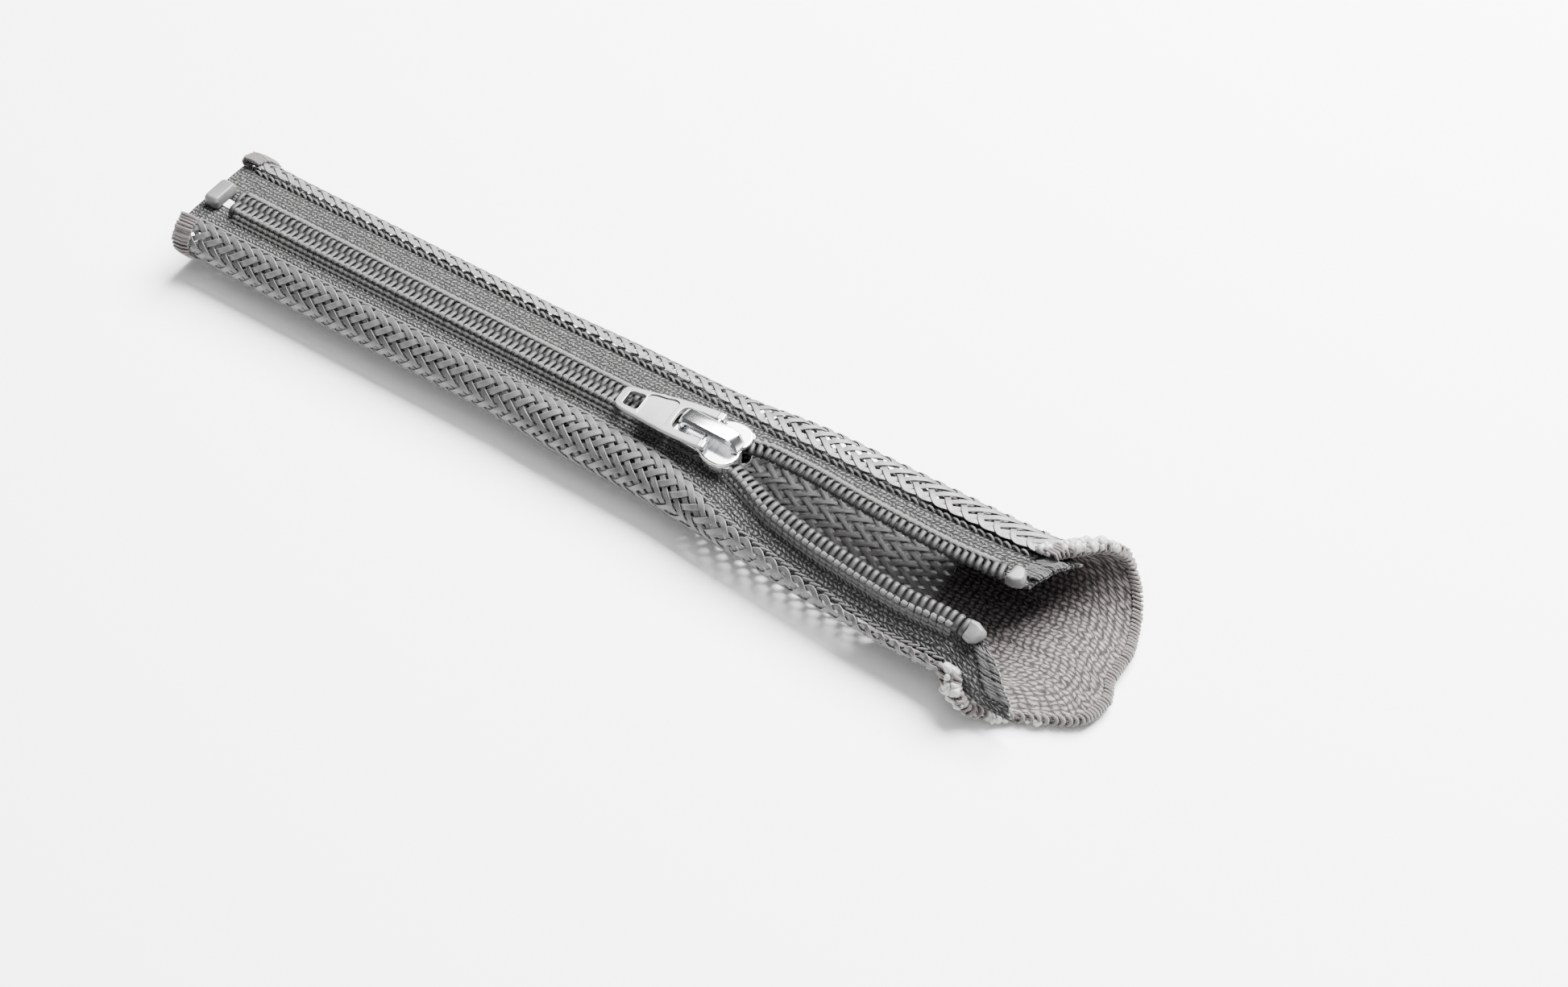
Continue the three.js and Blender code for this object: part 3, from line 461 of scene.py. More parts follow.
@dataclass
class Seats:
    """Places for a repeated unit: points with an up direction and a forward direction."""

    points: list[np.ndarray] = field(default_factory=list)
    ups: list[np.ndarray] = field(default_factory=list)
    aheads: list[np.ndarray] = field(default_factory=list)

    def add(self, points: np.ndarray, above: np.ndarray, ahead: np.ndarray) -> None:
        """Add a row of places.

        Args:
            points: The places.
            above: The same places, moved up a little.
            ahead: The same places, moved forward a little.
        """
        up = unit(above - points)
        on = unit(ahead - points)
        self.points.append(points)
        self.ups.append(up)
        self.aheads.append(unit(on - (on * up).sum(-1, keepdims=True) * up))

    def mesh(self, name: str) -> bpy.types.Mesh:
        """The places as a mesh of points, with the attributes that the repeat reads."""
        mesh = bpy.data.meshes.new(name)
        mesh.from_pydata((np.concatenate(self.points) * MM).tolist(), [], [])
        for key, rows in (("up", self.ups), ("ahead", self.aheads)):
            attribute = mesh.attributes.new(key, "FLOAT_VECTOR", "POINT")
            attribute.data.foreach_set("vector", np.concatenate(rows).astype(np.float32).ravel())
        return mesh


def piece_from(mesh: bpy.types.Mesh, name: str) -> bpy.types.Object:
    """A new object for the mesh, linked to the scene."""
    made = bpy.data.objects.new(name, mesh)
    bpy.context.scene.collection.objects.link(made)
    return made


def shade_smooth(mesh: bpy.types.Mesh) -> None:
    """Shade every face of the mesh smooth."""
    mesh.polygons.foreach_set("use_smooth", [True] * len(mesh.polygons))
    mesh.update()


def strip_faces(rows: int, wide: int) -> list[tuple[int, int, int, int]]:
    """Faces of a sheet whose points lie in rows of a given width, with one row more than steps."""
    starts = (a for r in range(rows) for a in range(r * wide, r * wide + wide - 1))
    return [(a, a + 1, a + wide + 1, a + wide) for a in starts]


def map_cloth(mesh: bpy.types.Mesh, places: np.ndarray) -> None:
    """Give a cloth its map in millimetres.

    Args:
        mesh: The cloth.
        places: The place of each vertex along and across the cloth.
    """
    layer = mesh.uv_layers.new(name="cloth_mm")
    corner = np.zeros(len(mesh.loops), np.int32)
    mesh.loops.foreach_get("vertex_index", corner)
    layer.data.foreach_set("uv", places[corner].astype(np.float32).ravel())


def press_up(made: bpy.types.Object) -> None:
    """Press flat what would reach below the floor."""
    co = np.zeros(len(made.data.vertices) * 3, np.float32)
    made.data.vertices.foreach_get("co", co)
    co[2::3] = np.maximum(co[2::3], LOWEST)
    made.data.vertices.foreach_set("co", co)


def finished(made: bpy.types.Object, body: Body, slot: Slot, *replaced: str) -> bpy.types.Object:
    """Seat a finished piece on its body.

    Args:
        made: The piece.
        body: The body that it rides on.
        slot: The record's slot; not used.
        replaced: Nodes that it stands for.

    Returns:
        The same piece.
    """
    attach(made, body.value)
    if replaced:
        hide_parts(*replaced)
    LOG.info("%s: %d faces on %s", made.name, len(made.data.polygons), body.value)
    return made


class Tree:
    """A Geometry Nodes tree with named inputs, built once and used by many pieces."""

    def __init__(self, name: str) -> None:
        """Start a tree that takes and gives geometry.

        Args:
            name: The tree's name.
        """
        self.group = bpy.data.node_groups.new(name, "GeometryNodeTree")
        self.ids: dict[str, str] = {}
        self.add_input("Places", "NodeSocketGeometry")
        self.group.interface.new_socket("Result", in_out="OUTPUT", socket_type="NodeSocketGeometry")
        self.entry = self.node("NodeGroupInput")
        self.exit = self.node("NodeGroupOutput")

    def add_input(self, name: str, kind: str, value: object = None) -> None:
        """Add a named input socket, with its default value if it has one."""
        socket = self.group.interface.new_socket(name, in_out="INPUT", socket_type=kind)
        if value is not None:
            socket.default_value = value
        self.ids[name] = socket.identifier

    def node(self, kind: str, **settings: object) -> bpy.types.Node:
        """Add a node and set its properties."""
        made = self.group.nodes.new(kind)
        for key, value in settings.items():
            setattr(made, key, value)
        return made

    def link(self, source: bpy.types.NodeSocket, target: bpy.types.NodeSocket) -> None:
        """Link two sockets."""
        self.group.links.new(source, target)

    def attribute(self, name: str, kind: str) -> bpy.types.NodeSocket:
        """The output of a node that reads a named attribute."""
        made = self.node("GeometryNodeInputNamedAttribute", data_type=kind)
        made.inputs["Name"].default_value = name
        return made.outputs["Attribute"]

    def close(self, geometry: bpy.types.NodeSocket) -> None:
        """End the tree: smooth shading, real meshes, and the finish."""
        smooth = self.node("GeometryNodeSetShadeSmooth")
        real = self.node("GeometryNodeRealizeInstances")
        paint = self.node("GeometryNodeSetMaterial")
        self.link(geometry, real.inputs["Geometry"])
        self.link(real.outputs["Geometry"], smooth.inputs[0])
        self.link(smooth.outputs[0], paint.inputs["Geometry"])
        self.link(self.entry.outputs["Finish"], paint.inputs["Material"])
        self.link(paint.outputs["Geometry"], self.exit.inputs[0])

    def run(self, mesh: bpy.types.Mesh, name: str, **values: object) -> bpy.types.Object:
        """Run the tree on a mesh of places.

        Args:
            mesh: The places.
            name: The new piece's name.
            values: Values for the tree's inputs, by name, with _ for a space.

        Returns:
            The piece as a plain mesh object.
        """
        holder = piece_from(mesh, name + "_places")
        modifier = holder.modifiers.new("tree", "NODES")
        modifier.node_group = self.group
        for key, value in values.items():
            modifier[self.ids[key.replace("_", " ")]] = value
        depsgraph = bpy.context.evaluated_depsgraph_get()
        result = bpy.data.meshes.new_from_object(holder.evaluated_get(depsgraph))
        holder.modifiers.clear()
        bpy.data.objects.remove(holder)
        result.name = name
        return piece_from(result, name)


class SweepTree(Tree):
    """Sweeps a profile along lines. The profile's X is up and its Y is across."""

    def __init__(self) -> None:
        """Build the tree."""
        super().__init__("sweep_yarn")
        self.add_input("Profile", "NodeSocketObject")
        self.add_input("Finish", "NodeSocketMaterial")
        lines = self.node("GeometryNodeMeshToCurve")
        turn = self.node("GeometryNodeSetCurveNormal", mode="FREE")
        profile = self.node("GeometryNodeObjectInfo")
        ring = self.node("GeometryNodeMeshToCurve")
        sweep = self.node("GeometryNodeCurveToMesh")
        sweep.inputs["Fill Caps"].default_value = True
        self.link(self.entry.outputs["Places"], lines.inputs["Mesh"])
        self.link(lines.outputs["Curve"], turn.inputs["Curve"])
        self.link(self.attribute("up", "FLOAT_VECTOR"), turn.inputs["Normal"])
        self.link(self.entry.outputs["Profile"], profile.inputs["Object"])
        self.link(profile.outputs["Geometry"], ring.inputs["Mesh"])
        self.link(turn.outputs["Curve"], sweep.inputs["Curve"])
        self.link(ring.outputs["Curve"], sweep.inputs["Profile Curve"])
        self.link(self.attribute("thick", "FLOAT"), sweep.inputs["Scale"])
        self.close(sweep.outputs["Mesh"])

    def yarn(
        self, lines: Lines, name: str, profile: bpy.types.Object, finish: bpy.types.Material
    ) -> bpy.types.Object:
        """Sweep a profile along lines, and delete the profile.

        Args:
            lines: The centre lines.
            name: The new piece's name.
            profile: The profile, which isn't needed afterwards.
            finish: The piece's finish.

        Returns:
            The piece as a plain mesh object.
        """
        made = self.run(lines.mesh(name + "_lines"), name, Profile=profile, Finish=finish)
        bpy.data.objects.remove(profile)
        return made


class RepeatTree(Tree):
    """Sets a unit at each place, turned to its up and forward directions, with small random changes."""

    def __init__(self) -> None:
        """Build the tree."""
        super().__init__("repeat_unit")
        self.add_input("Unit", "NodeSocketObject")
        self.add_input("Size spread", "NodeSocketFloat", 0.0)
        self.add_input("Turn spread", "NodeSocketFloat", 0.0)
        self.add_input("Seed", "NodeSocketInt", 1)
        self.add_input("Finish", "NodeSocketMaterial")
        unit_info = self.node("GeometryNodeObjectInfo")
        place = self.node("GeometryNodeInstanceOnPoints")
        axes = self.node("FunctionNodeAxesToRotation", primary_axis="Z", secondary_axis="X")
        spread = self.node("FunctionNodeRandomValue", data_type="FLOAT")
        twist = self.node("FunctionNodeRandomValue", data_type="FLOAT")
        low = self.node("ShaderNodeMath", operation="SUBTRACT")
        high = self.node("ShaderNodeMath", operation="ADD")
        negative = self.node("ShaderNodeMath", operation="MULTIPLY")
        euler = self.node("ShaderNodeCombineXYZ")
        turn = self.node("FunctionNodeRotateRotation", rotation_space="LOCAL")
        to_rotation = self.node("FunctionNodeEulerToRotation")
        low.inputs[0].default_value = high.inputs[0].default_value = 1.0
        negative.inputs[1].default_value = -1.0
        entry = self.entry.outputs
        self.link(entry["Size spread"], low.inputs[1])
        self.link(entry["Size spread"], high.inputs[1])
        self.link(low.outputs[0], spread.inputs[2])
        self.link(high.outputs[0], spread.inputs[3])
        self.link(entry["Seed"], spread.inputs["Seed"])
        self.link(entry["Turn spread"], negative.inputs[0])
        self.link(negative.outputs[0], twist.inputs[2])
        self.link(entry["Turn spread"], twist.inputs[3])
        self.link(entry["Seed"], twist.inputs["Seed"])
        self.link(twist.outputs[1], euler.inputs["Z"])
        self.link(euler.outputs[0], to_rotation.inputs[0])
        self.link(self.attribute("up", "FLOAT_VECTOR"), axes.inputs["Primary Axis"])
        self.link(self.attribute("ahead", "FLOAT_VECTOR"), axes.inputs["Secondary Axis"])
        self.link(axes.outputs[0], turn.inputs["Rotation"])
        self.link(to_rotation.outputs[0], turn.inputs["Rotate By"])
        self.link(entry["Unit"], unit_info.inputs["Object"])
        self.link(entry["Places"], place.inputs["Points"])
        self.link(unit_info.outputs["Geometry"], place.inputs["Instance"])
        self.link(turn.outputs[0], place.inputs["Rotation"])
        self.link(spread.outputs[1], place.inputs["Scale"])
        self.close(place.outputs["Instances"])


def profile_object(rows: Loop, name: str) -> bpy.types.Object:
    """A closed profile for a sweep, from rows of (up, across) in millimetres.

    Each point keeps its place across the yarn in the attribute "across", from -1 to 1.
    """
    mesh = bpy.data.meshes.new(name)
    count = len(rows)
    mesh.from_pydata([(u * MM, a * MM, 0) for u, a in rows], [(k, (k + 1) % count) for k in range(count)], [])
    wide = max(abs(a) for _, a in rows)
    across = mesh.attributes.new("across", "FLOAT", "POINT")
    across.data.foreach_set("value", [a / wide for _, a in rows])
    return piece_from(mesh, name)


def round_profile(radius: float, sides: int, name: str) -> bpy.types.Object:
    """A round profile for a sweep."""
    turns = [2 * math.pi * k / sides for k in range(sides)]
    return profile_object([(radius * math.cos(t), radius * math.sin(t)) for t in turns], name)


class Finish:
    """Helpers for the node trees of materials."""

    def __init__(self, name: str) -> None:
        """Start an empty material with a Principled shader and its output.

        Args:
            name: The material's name.
        """
        self.material = bpy.data.materials.new(name)
        self.material.use_nodes = True
        self.tree = self.material.node_tree
        self.tree.nodes.clear()
        self.shader = self.node("ShaderNodeBsdfPrincipled")
        output = self.node("ShaderNodeOutputMaterial")
        self.link(self.shader.outputs["BSDF"], output.inputs["Surface"])

    def node(self, kind: str, **settings: object) -> bpy.types.Node:
        """Add a node and set its properties."""
        made = self.tree.nodes.new(kind)
        for key, value in settings.items():
            setattr(made, key, value)
        return made

    def link(self, source: bpy.types.NodeSocket, target: bpy.types.NodeSocket) -> None:
        """Link two sockets."""
        self.tree.links.new(source, target)

    def group(self, group: bpy.types.NodeTree, **values: object) -> bpy.types.Node:
        """Place a shared node group and set its inputs by name, with _ for a space."""
        made = self.node("ShaderNodeGroup")
        made.node_tree = group
        for key, value in values.items():
            made.inputs[key.replace("_", " ")].default_value = value
        return made

    def bump(self, height: bpy.types.NodeSocket, distance: float, strength: float = 1.0) -> None:
        """Feed a height to the shader's normal.

        Args:
            height: The height.
            distance: Its scale in metres.
            strength: Its strength.
        """
        made = self.node("ShaderNodeBump")
        made.inputs["Strength"].default_value = strength
        made.inputs["Distance"].default_value = distance
        self.link(height, made.inputs["Height"])
        self.link(made.outputs["Normal"], self.shader.inputs["Normal"])

    def ramp(self, value: bpy.types.NodeSocket, stops: list[tuple[float, Colour]]) -> bpy.types.NodeSocket:
        """Colour a value.

        Args:
            value: The value.
            stops: Rows of (place, colour).

        Returns:
            The colour socket.
        """
        made = self.node("ShaderNodeValToRGB")
        elements = made.color_ramp.elements
        while len(elements) < len(stops):
            elements.new(0.5)
        for element, (place, colour) in zip(elements, sorted(stops)):
            element.position = place
            element.color = (*colour, 1)
        self.link(value, made.inputs["Fac"])
        return made.outputs["Color"]


class GroupMaker:
    """Builds the shader node groups that several materials share."""

    def __init__(
        self, name: str, inputs: list[tuple[str, str, object]], outputs: list[tuple[str, str]]
    ) -> None:
        """Start a group.

        Args:
            name: The group's name.
            inputs: Rows of (name, socket type, default value).
            outputs: Rows of (name, socket type).
        """
        self.group = bpy.data.node_groups.new(name, "ShaderNodeTree")
        for key, kind, value in inputs:
            socket = self.group.interface.new_socket(key, in_out="INPUT", socket_type=kind)
            if value is not None:
                socket.default_value = value
        for key, kind in outputs:
            self.group.interface.new_socket(key, in_out="OUTPUT", socket_type=kind)
        self.entry = self.group.nodes.new("NodeGroupInput").outputs
        self.exit = self.group.nodes.new("NodeGroupOutput").inputs

    def math(self, operation: str, *values: object) -> bpy.types.NodeSocket:
        """A Math node on sockets and numbers."""
        made = self.group.nodes.new("ShaderNodeMath")
        made.operation = operation
        for k, value in enumerate(values):
            if isinstance(value, (int, float)):
                made.inputs[k].default_value = value
            else:
                self.group.links.new(value, made.inputs[k])
        return made.outputs[0]

    def noise(self, vector: bpy.types.NodeSocket, scale: object, detail: float = 2.0) -> bpy.types.NodeSocket:
        """A Noise node's value on a vector."""
        made = self.group.nodes.new("ShaderNodeTexNoise")
        made.inputs["Detail"].default_value = detail
        if isinstance(scale, (int, float)):
            made.inputs["Scale"].default_value = scale
        else:
            self.group.links.new(scale, made.inputs["Scale"])
        self.group.links.new(vector, made.inputs["Vector"])
        return made.outputs["Fac"]

    def link(self, source: bpy.types.NodeSocket, target: bpy.types.NodeSocket) -> None:
        """Link two sockets."""
        self.group.links.new(source, target)


def knit_group() -> bpy.types.NodeTree:
    """Rows of small slanted stitches on a surface's own millimetres.

    Returns:
        A group with inputs Place (millimetres along and across), Pitch, Row, Slant and Wobble, and
        outputs Height and Tone. Tone is partly painted shade, darker in the grooves between the stitches,
        and partly random grain.
    """
    g = GroupMaker(
        "slanted_stitches",
        [
            ("Place", "NodeSocketVector", None),
            ("Pitch", "NodeSocketFloat", 0.8),
            ("Row", "NodeSocketFloat", 0.7),
            ("Slant", "NodeSocketFloat", 0.5),
            ("Wobble", "NodeSocketFloat", 0.4),
        ],
        [("Height", "NodeSocketFloat"), ("Tone", "NodeSocketFloat")],
    )
    split = g.group.nodes.new("ShaderNodeSeparateXYZ")
    g.link(g.entry["Place"], split.inputs[0])
    drift = g.math("MULTIPLY", g.math("SUBTRACT", g.noise(g.entry["Place"], 0.9, 3), 0.5), g.entry["Wobble"])
    x = g.math("ADD", split.outputs["X"], g.math("MULTIPLY", drift, 4.0))
    y = g.math("ADD", split.outputs["Y"], g.math("MULTIPLY", drift, 2.5))
    row = g.math("DIVIDE", y, g.entry["Row"])
    zigzag = g.math("PINGPONG", row, 1.0)
    lean = g.math("MULTIPLY", zigzag, g.entry["Slant"])
    slanted = g.math("ADD", g.math("DIVIDE", x, g.entry["Pitch"]), lean)
    yarn = g.math("ABSOLUTE", g.math("SINE", g.math("MULTIPLY", slanted, math.pi)))
    wale = g.math("ABSOLUTE", g.math("SINE", g.math("MULTIPLY", row, math.pi)))
    height = g.math("MULTIPLY", g.math("POWER", yarn, 0.7), g.math("POWER", wale, 0.55))
    fuzz = g.noise(g.entry["Place"], 5.5, 3)
    g.link(g.math("ADD", g.math("MULTIPLY", height, 0.8), g.math("MULTIPLY", fuzz, 0.35)), g.exit["Height"])
    grain = g.noise(g.entry["Place"], 1.5, 4)
    # Painted shade: Tone is darker where the stitch height is low, in the grooves between the stitches, mixed
    # with random grain.
    g.link(
        g.math("ADD", g.math("MULTIPLY", height, 0.55), g.math("MULTIPLY", grain, 0.75)),
        g.exit["Tone"],
    )
    return g.group


def streak_group() -> bpy.types.NodeTree:
    """Fine streaks along a yarn, on its own along and across attributes.

    Returns:
        A group with inputs Place, Along and Across, and outputs Height and Tone.
    """
    g = GroupMaker(
        "yarn_streaks",
        [
            ("Place", "NodeSocketVector", None),
            ("Along", "NodeSocketFloat", 0.35),
            ("Across", "NodeSocketFloat", 9.0),
        ],
        [("Height", "NodeSocketFloat"), ("Tone", "NodeSocketFloat")],
    )
    split = g.group.nodes.new("ShaderNodeSeparateXYZ")
    join = g.group.nodes.new("ShaderNodeCombineXYZ")
    g.link(g.entry["Place"], split.inputs[0])
    g.link(g.math("MULTIPLY", split.outputs["X"], g.entry["Along"]), join.inputs["X"])
    g.link(g.math("MULTIPLY", split.outputs["Y"], g.entry["Across"]), join.inputs["Y"])
    streak = g.noise(join.outputs[0], 1.0, 3)
    g.link(streak, g.exit["Height"])
    patch = g.noise(g.entry["Place"], 0.35, 2)
    g.link(g.math("ADD", g.math("MULTIPLY", streak, 0.7), g.math("MULTIPLY", patch, 0.3)), g.exit["Tone"])
    return g.group


def wear_group() -> bpy.types.NodeTree:
    """Faint smudges and fine grain for metal and moulded plastic, on object coordinates.

    Returns:
        A group with inputs Place, Base, Smudge and Grain, and outputs Rough, Height and Tone.
    """
    g = GroupMaker(
        "smudges",
        [
            ("Place", "NodeSocketVector", None),
            ("Base", "NodeSocketFloat", 0.2),
            ("Smudge", "NodeSocketFloat", 0.1),
            ("Grain", "NodeSocketFloat", 900.0),
        ],
        [("Rough", "NodeSocketFloat"), ("Height", "NodeSocketFloat"), ("Tone", "NodeSocketFloat")],
    )
    broad = g.noise(g.entry["Place"], 160.0, 4)
    fine = g.noise(g.entry["Place"], g.entry["Grain"], 3)
    g.link(g.math("MULTIPLY_ADD", broad, g.entry["Smudge"], g.entry["Base"]), g.exit["Rough"])
    g.link(fine, g.exit["Height"])
    g.link(g.math("ADD", g.math("MULTIPLY", broad, 0.6), g.math("MULTIPLY", fine, 0.4)), g.exit["Tone"])
    return g.group


@dataclass(frozen=True)
class YarnLook:
    """The finish of a yarn or monofilament swept along a line."""

    name: str
    dark: Colour
    light: Colour
    roughness: float
    streaks: float
    bump: float
    sheen: float = 0.0
    filaments: float = 0.0

    def build(self, streaks: bpy.types.NodeTree) -> bpy.types.Material:
        """The material.

        Args:
            streaks: The shared group of streaks.

        Returns:
            The finished material.
        """
        f = Finish(self.name)
        along = f.node("ShaderNodeAttribute", attribute_name="along")
        across = f.node("ShaderNodeAttribute", attribute_name="across")
        place = f.node("ShaderNodeCombineXYZ")
        f.link(along.outputs["Fac"], place.inputs["X"])
        f.link(across.outputs["Fac"], place.inputs["Y"])
        marks = f.group(streaks, Across=self.streaks)
        f.link(place.outputs[0], marks.inputs["Place"])
        tone = marks.outputs["Tone"]
        height = marks.outputs["Height"]
        # Painted shade: the colour is lighter on each filament's crown and darker in the valleys between the
        # filaments, where shade falls.
        if self.filaments:
            wave = f.node("ShaderNodeMath", operation="MULTIPLY")
            wave.inputs[1].default_value = self.filaments * math.pi / 2
            sine = f.node("ShaderNodeMath", operation="SINE")
            crown = f.node("ShaderNodeMath", operation="ABSOLUTE")
            f.link(across.outputs["Fac"], wave.inputs[0])
            f.link(wave.outputs[0], sine.inputs[0])
            f.link(sine.outputs[0], crown.inputs[0])
            join = f.node("ShaderNodeMath", operation="MULTIPLY_ADD")
            join.inputs[1].default_value = 0.6
            f.link(crown.outputs[0], join.inputs[0])
            f.link(tone, join.inputs[2])
            tone = join.outputs[0]
        f.link(f.ramp(tone, [(0.3, self.dark), (1.0, self.light)]), f.shader.inputs["Base Color"])
        f.shader.inputs["Roughness"].default_value = self.roughness
        f.shader.inputs["Sheen Weight"].default_value = self.sheen
        f.bump(height, self.bump)
        return f.material


@dataclass(frozen=True)
class ClothLook:
    """The finish of a knitted or woven strip with its own millimetre map."""

    name: str
    stops: tuple[tuple[float, Colour], ...]
    pitch: float
    row: float
    slant: float
    bump: float
    roughness: float = 0.9
    sheen: float = 0.04

    def build(self, knit: bpy.types.NodeTree) -> bpy.types.Material:
        """The material.

        Args:
            knit: The shared group of slanted stitches.

        Returns:
            The finished material.
        """
        f = Finish(self.name)
        uv = f.node("ShaderNodeUVMap", uv_map="cloth_mm")
        stitches = f.group(knit, Pitch=self.pitch, Row=self.row, Slant=self.slant)
        f.link(uv.outputs["UV"], stitches.inputs["Place"])
        f.link(f.ramp(stitches.outputs["Tone"], list(self.stops)), f.shader.inputs["Base Color"])
        f.shader.inputs["Roughness"].default_value = self.roughness
        f.shader.inputs["Sheen Weight"].default_value = self.sheen
        f.shader.inputs["Sheen Roughness"].default_value = 0.5
        f.bump(stitches.outputs["Height"], self.bump)
        return f.material


@dataclass(frozen=True)
class HardLook:
    """The finish of metal or smooth moulded plastic."""

    name: str
    dark: Colour
    light: Colour
    metallic: float
    roughness: float
    smudge: float
    bump: float
    grain: float = 900.0

    def build(self, wear: bpy.types.NodeTree) -> bpy.types.Material:
        """The material.

        Args:
            wear: The shared group of smudges.

        Returns:
            The finished material.
        """
        f = Finish(self.name)
        place = f.node("ShaderNodeTexCoord")
        marks = f.group(wear, Base=self.roughness, Smudge=self.smudge, Grain=self.grain)
        f.link(place.outputs["Object"], marks.inputs["Place"])
        colour = f.ramp(marks.outputs["Tone"], [(0.3, self.dark), (0.7, self.light)])
        f.link(colour, f.shader.inputs["Base Color"])
        f.link(marks.outputs["Rough"], f.shader.inputs["Roughness"])
        f.shader.inputs["Metallic"].default_value = self.metallic
        f.bump(marks.outputs["Height"], self.bump)
        return f.material


class Finishes:
    """All the finishes of the sleeve, built once."""

    def __init__(self) -> None:
        """Build the shared groups and the materials."""
        knit, streaks, wear = knit_group(), streak_group(), wear_group()
        self.ribbon = YarnLook(
            "braid_filaments", (0.009, 0.009, 0.0087), (0.145, 0.145, 0.142), 0.42, 7.0, 0.00006, filaments=5
        ).build(streaks)
        self.coil = YarnLook(
            "coil_nylon", (0.006, 0.006, 0.0058), (0.034, 0.034, 0.0335), 0.55, 2.0, 0.00003
        ).build(streaks)
        self.thread = YarnLook(
            "sewing_thread", (0.04, 0.04, 0.039), (0.16, 0.16, 0.156), 0.8, 5.0, 0.00006, sheen=0.2
        ).build(streaks)
        self.fringe = YarnLook(
            "raw_yarn", (0.008, 0.008, 0.0077), (0.1, 0.098, 0.096), 0.85, 5.0, 0.00005, sheen=0.3
        ).build(streaks)
        self.hem = YarnLook(
            "overlock_yarn", (0.035, 0.03, 0.029), (0.2, 0.175, 0.172), 0.85, 5.0, 0.00007, sheen=0.3
        ).build(streaks)
        self.melt = YarnLook(
            "melted_ends", (0.2, 0.195, 0.19), (0.5, 0.49, 0.48), 0.35, 2.0, 0.00005
        ).build(streaks)
        self.tape = ClothLook(
            "tape_knit",
            (
                (0.46, (0.002, 0.002, 0.002)),
                (0.6, (0.01, 0.01, 0.0097)),
                (0.74, (0.031, 0.031, 0.03)),
                (0.9, (0.12, 0.12, 0.116)),
            ),
            pitch=0.9,
            row=0.8,
            slant=0.7,
            bump=0.0006,
        ).build(knit)
        self.cuff = ClothLook(
            "cuff_knit",
            ((0.45, (0.008, 0.007, 0.007)), (0.68, (0.055, 0.047, 0.046)), (0.95, (0.17, 0.148, 0.145))),
            pitch=1.0,
            row=0.9,
            slant=0.3,
            bump=0.0002,
        ).build(knit)
        self.nickel = HardLook(
            "polished_nickel", (0.72, 0.73, 0.74), (0.86, 0.87, 0.88), 1.0, 0.1, 0.12, 0.000004
        ).build(wear)
        self.satin = HardLook(
            "satin_nickel", (0.25, 0.254, 0.257), (0.33, 0.334, 0.337), 1.0, 0.3, 0.12, 0.000006, 2500.0
        ).build(wear)
        self.stop = HardLook(
            "moulded_stop", (0.085, 0.085, 0.085), (0.11, 0.11, 0.11), 0.0, 0.38, 0.15, 0.00002
        ).build(wear)


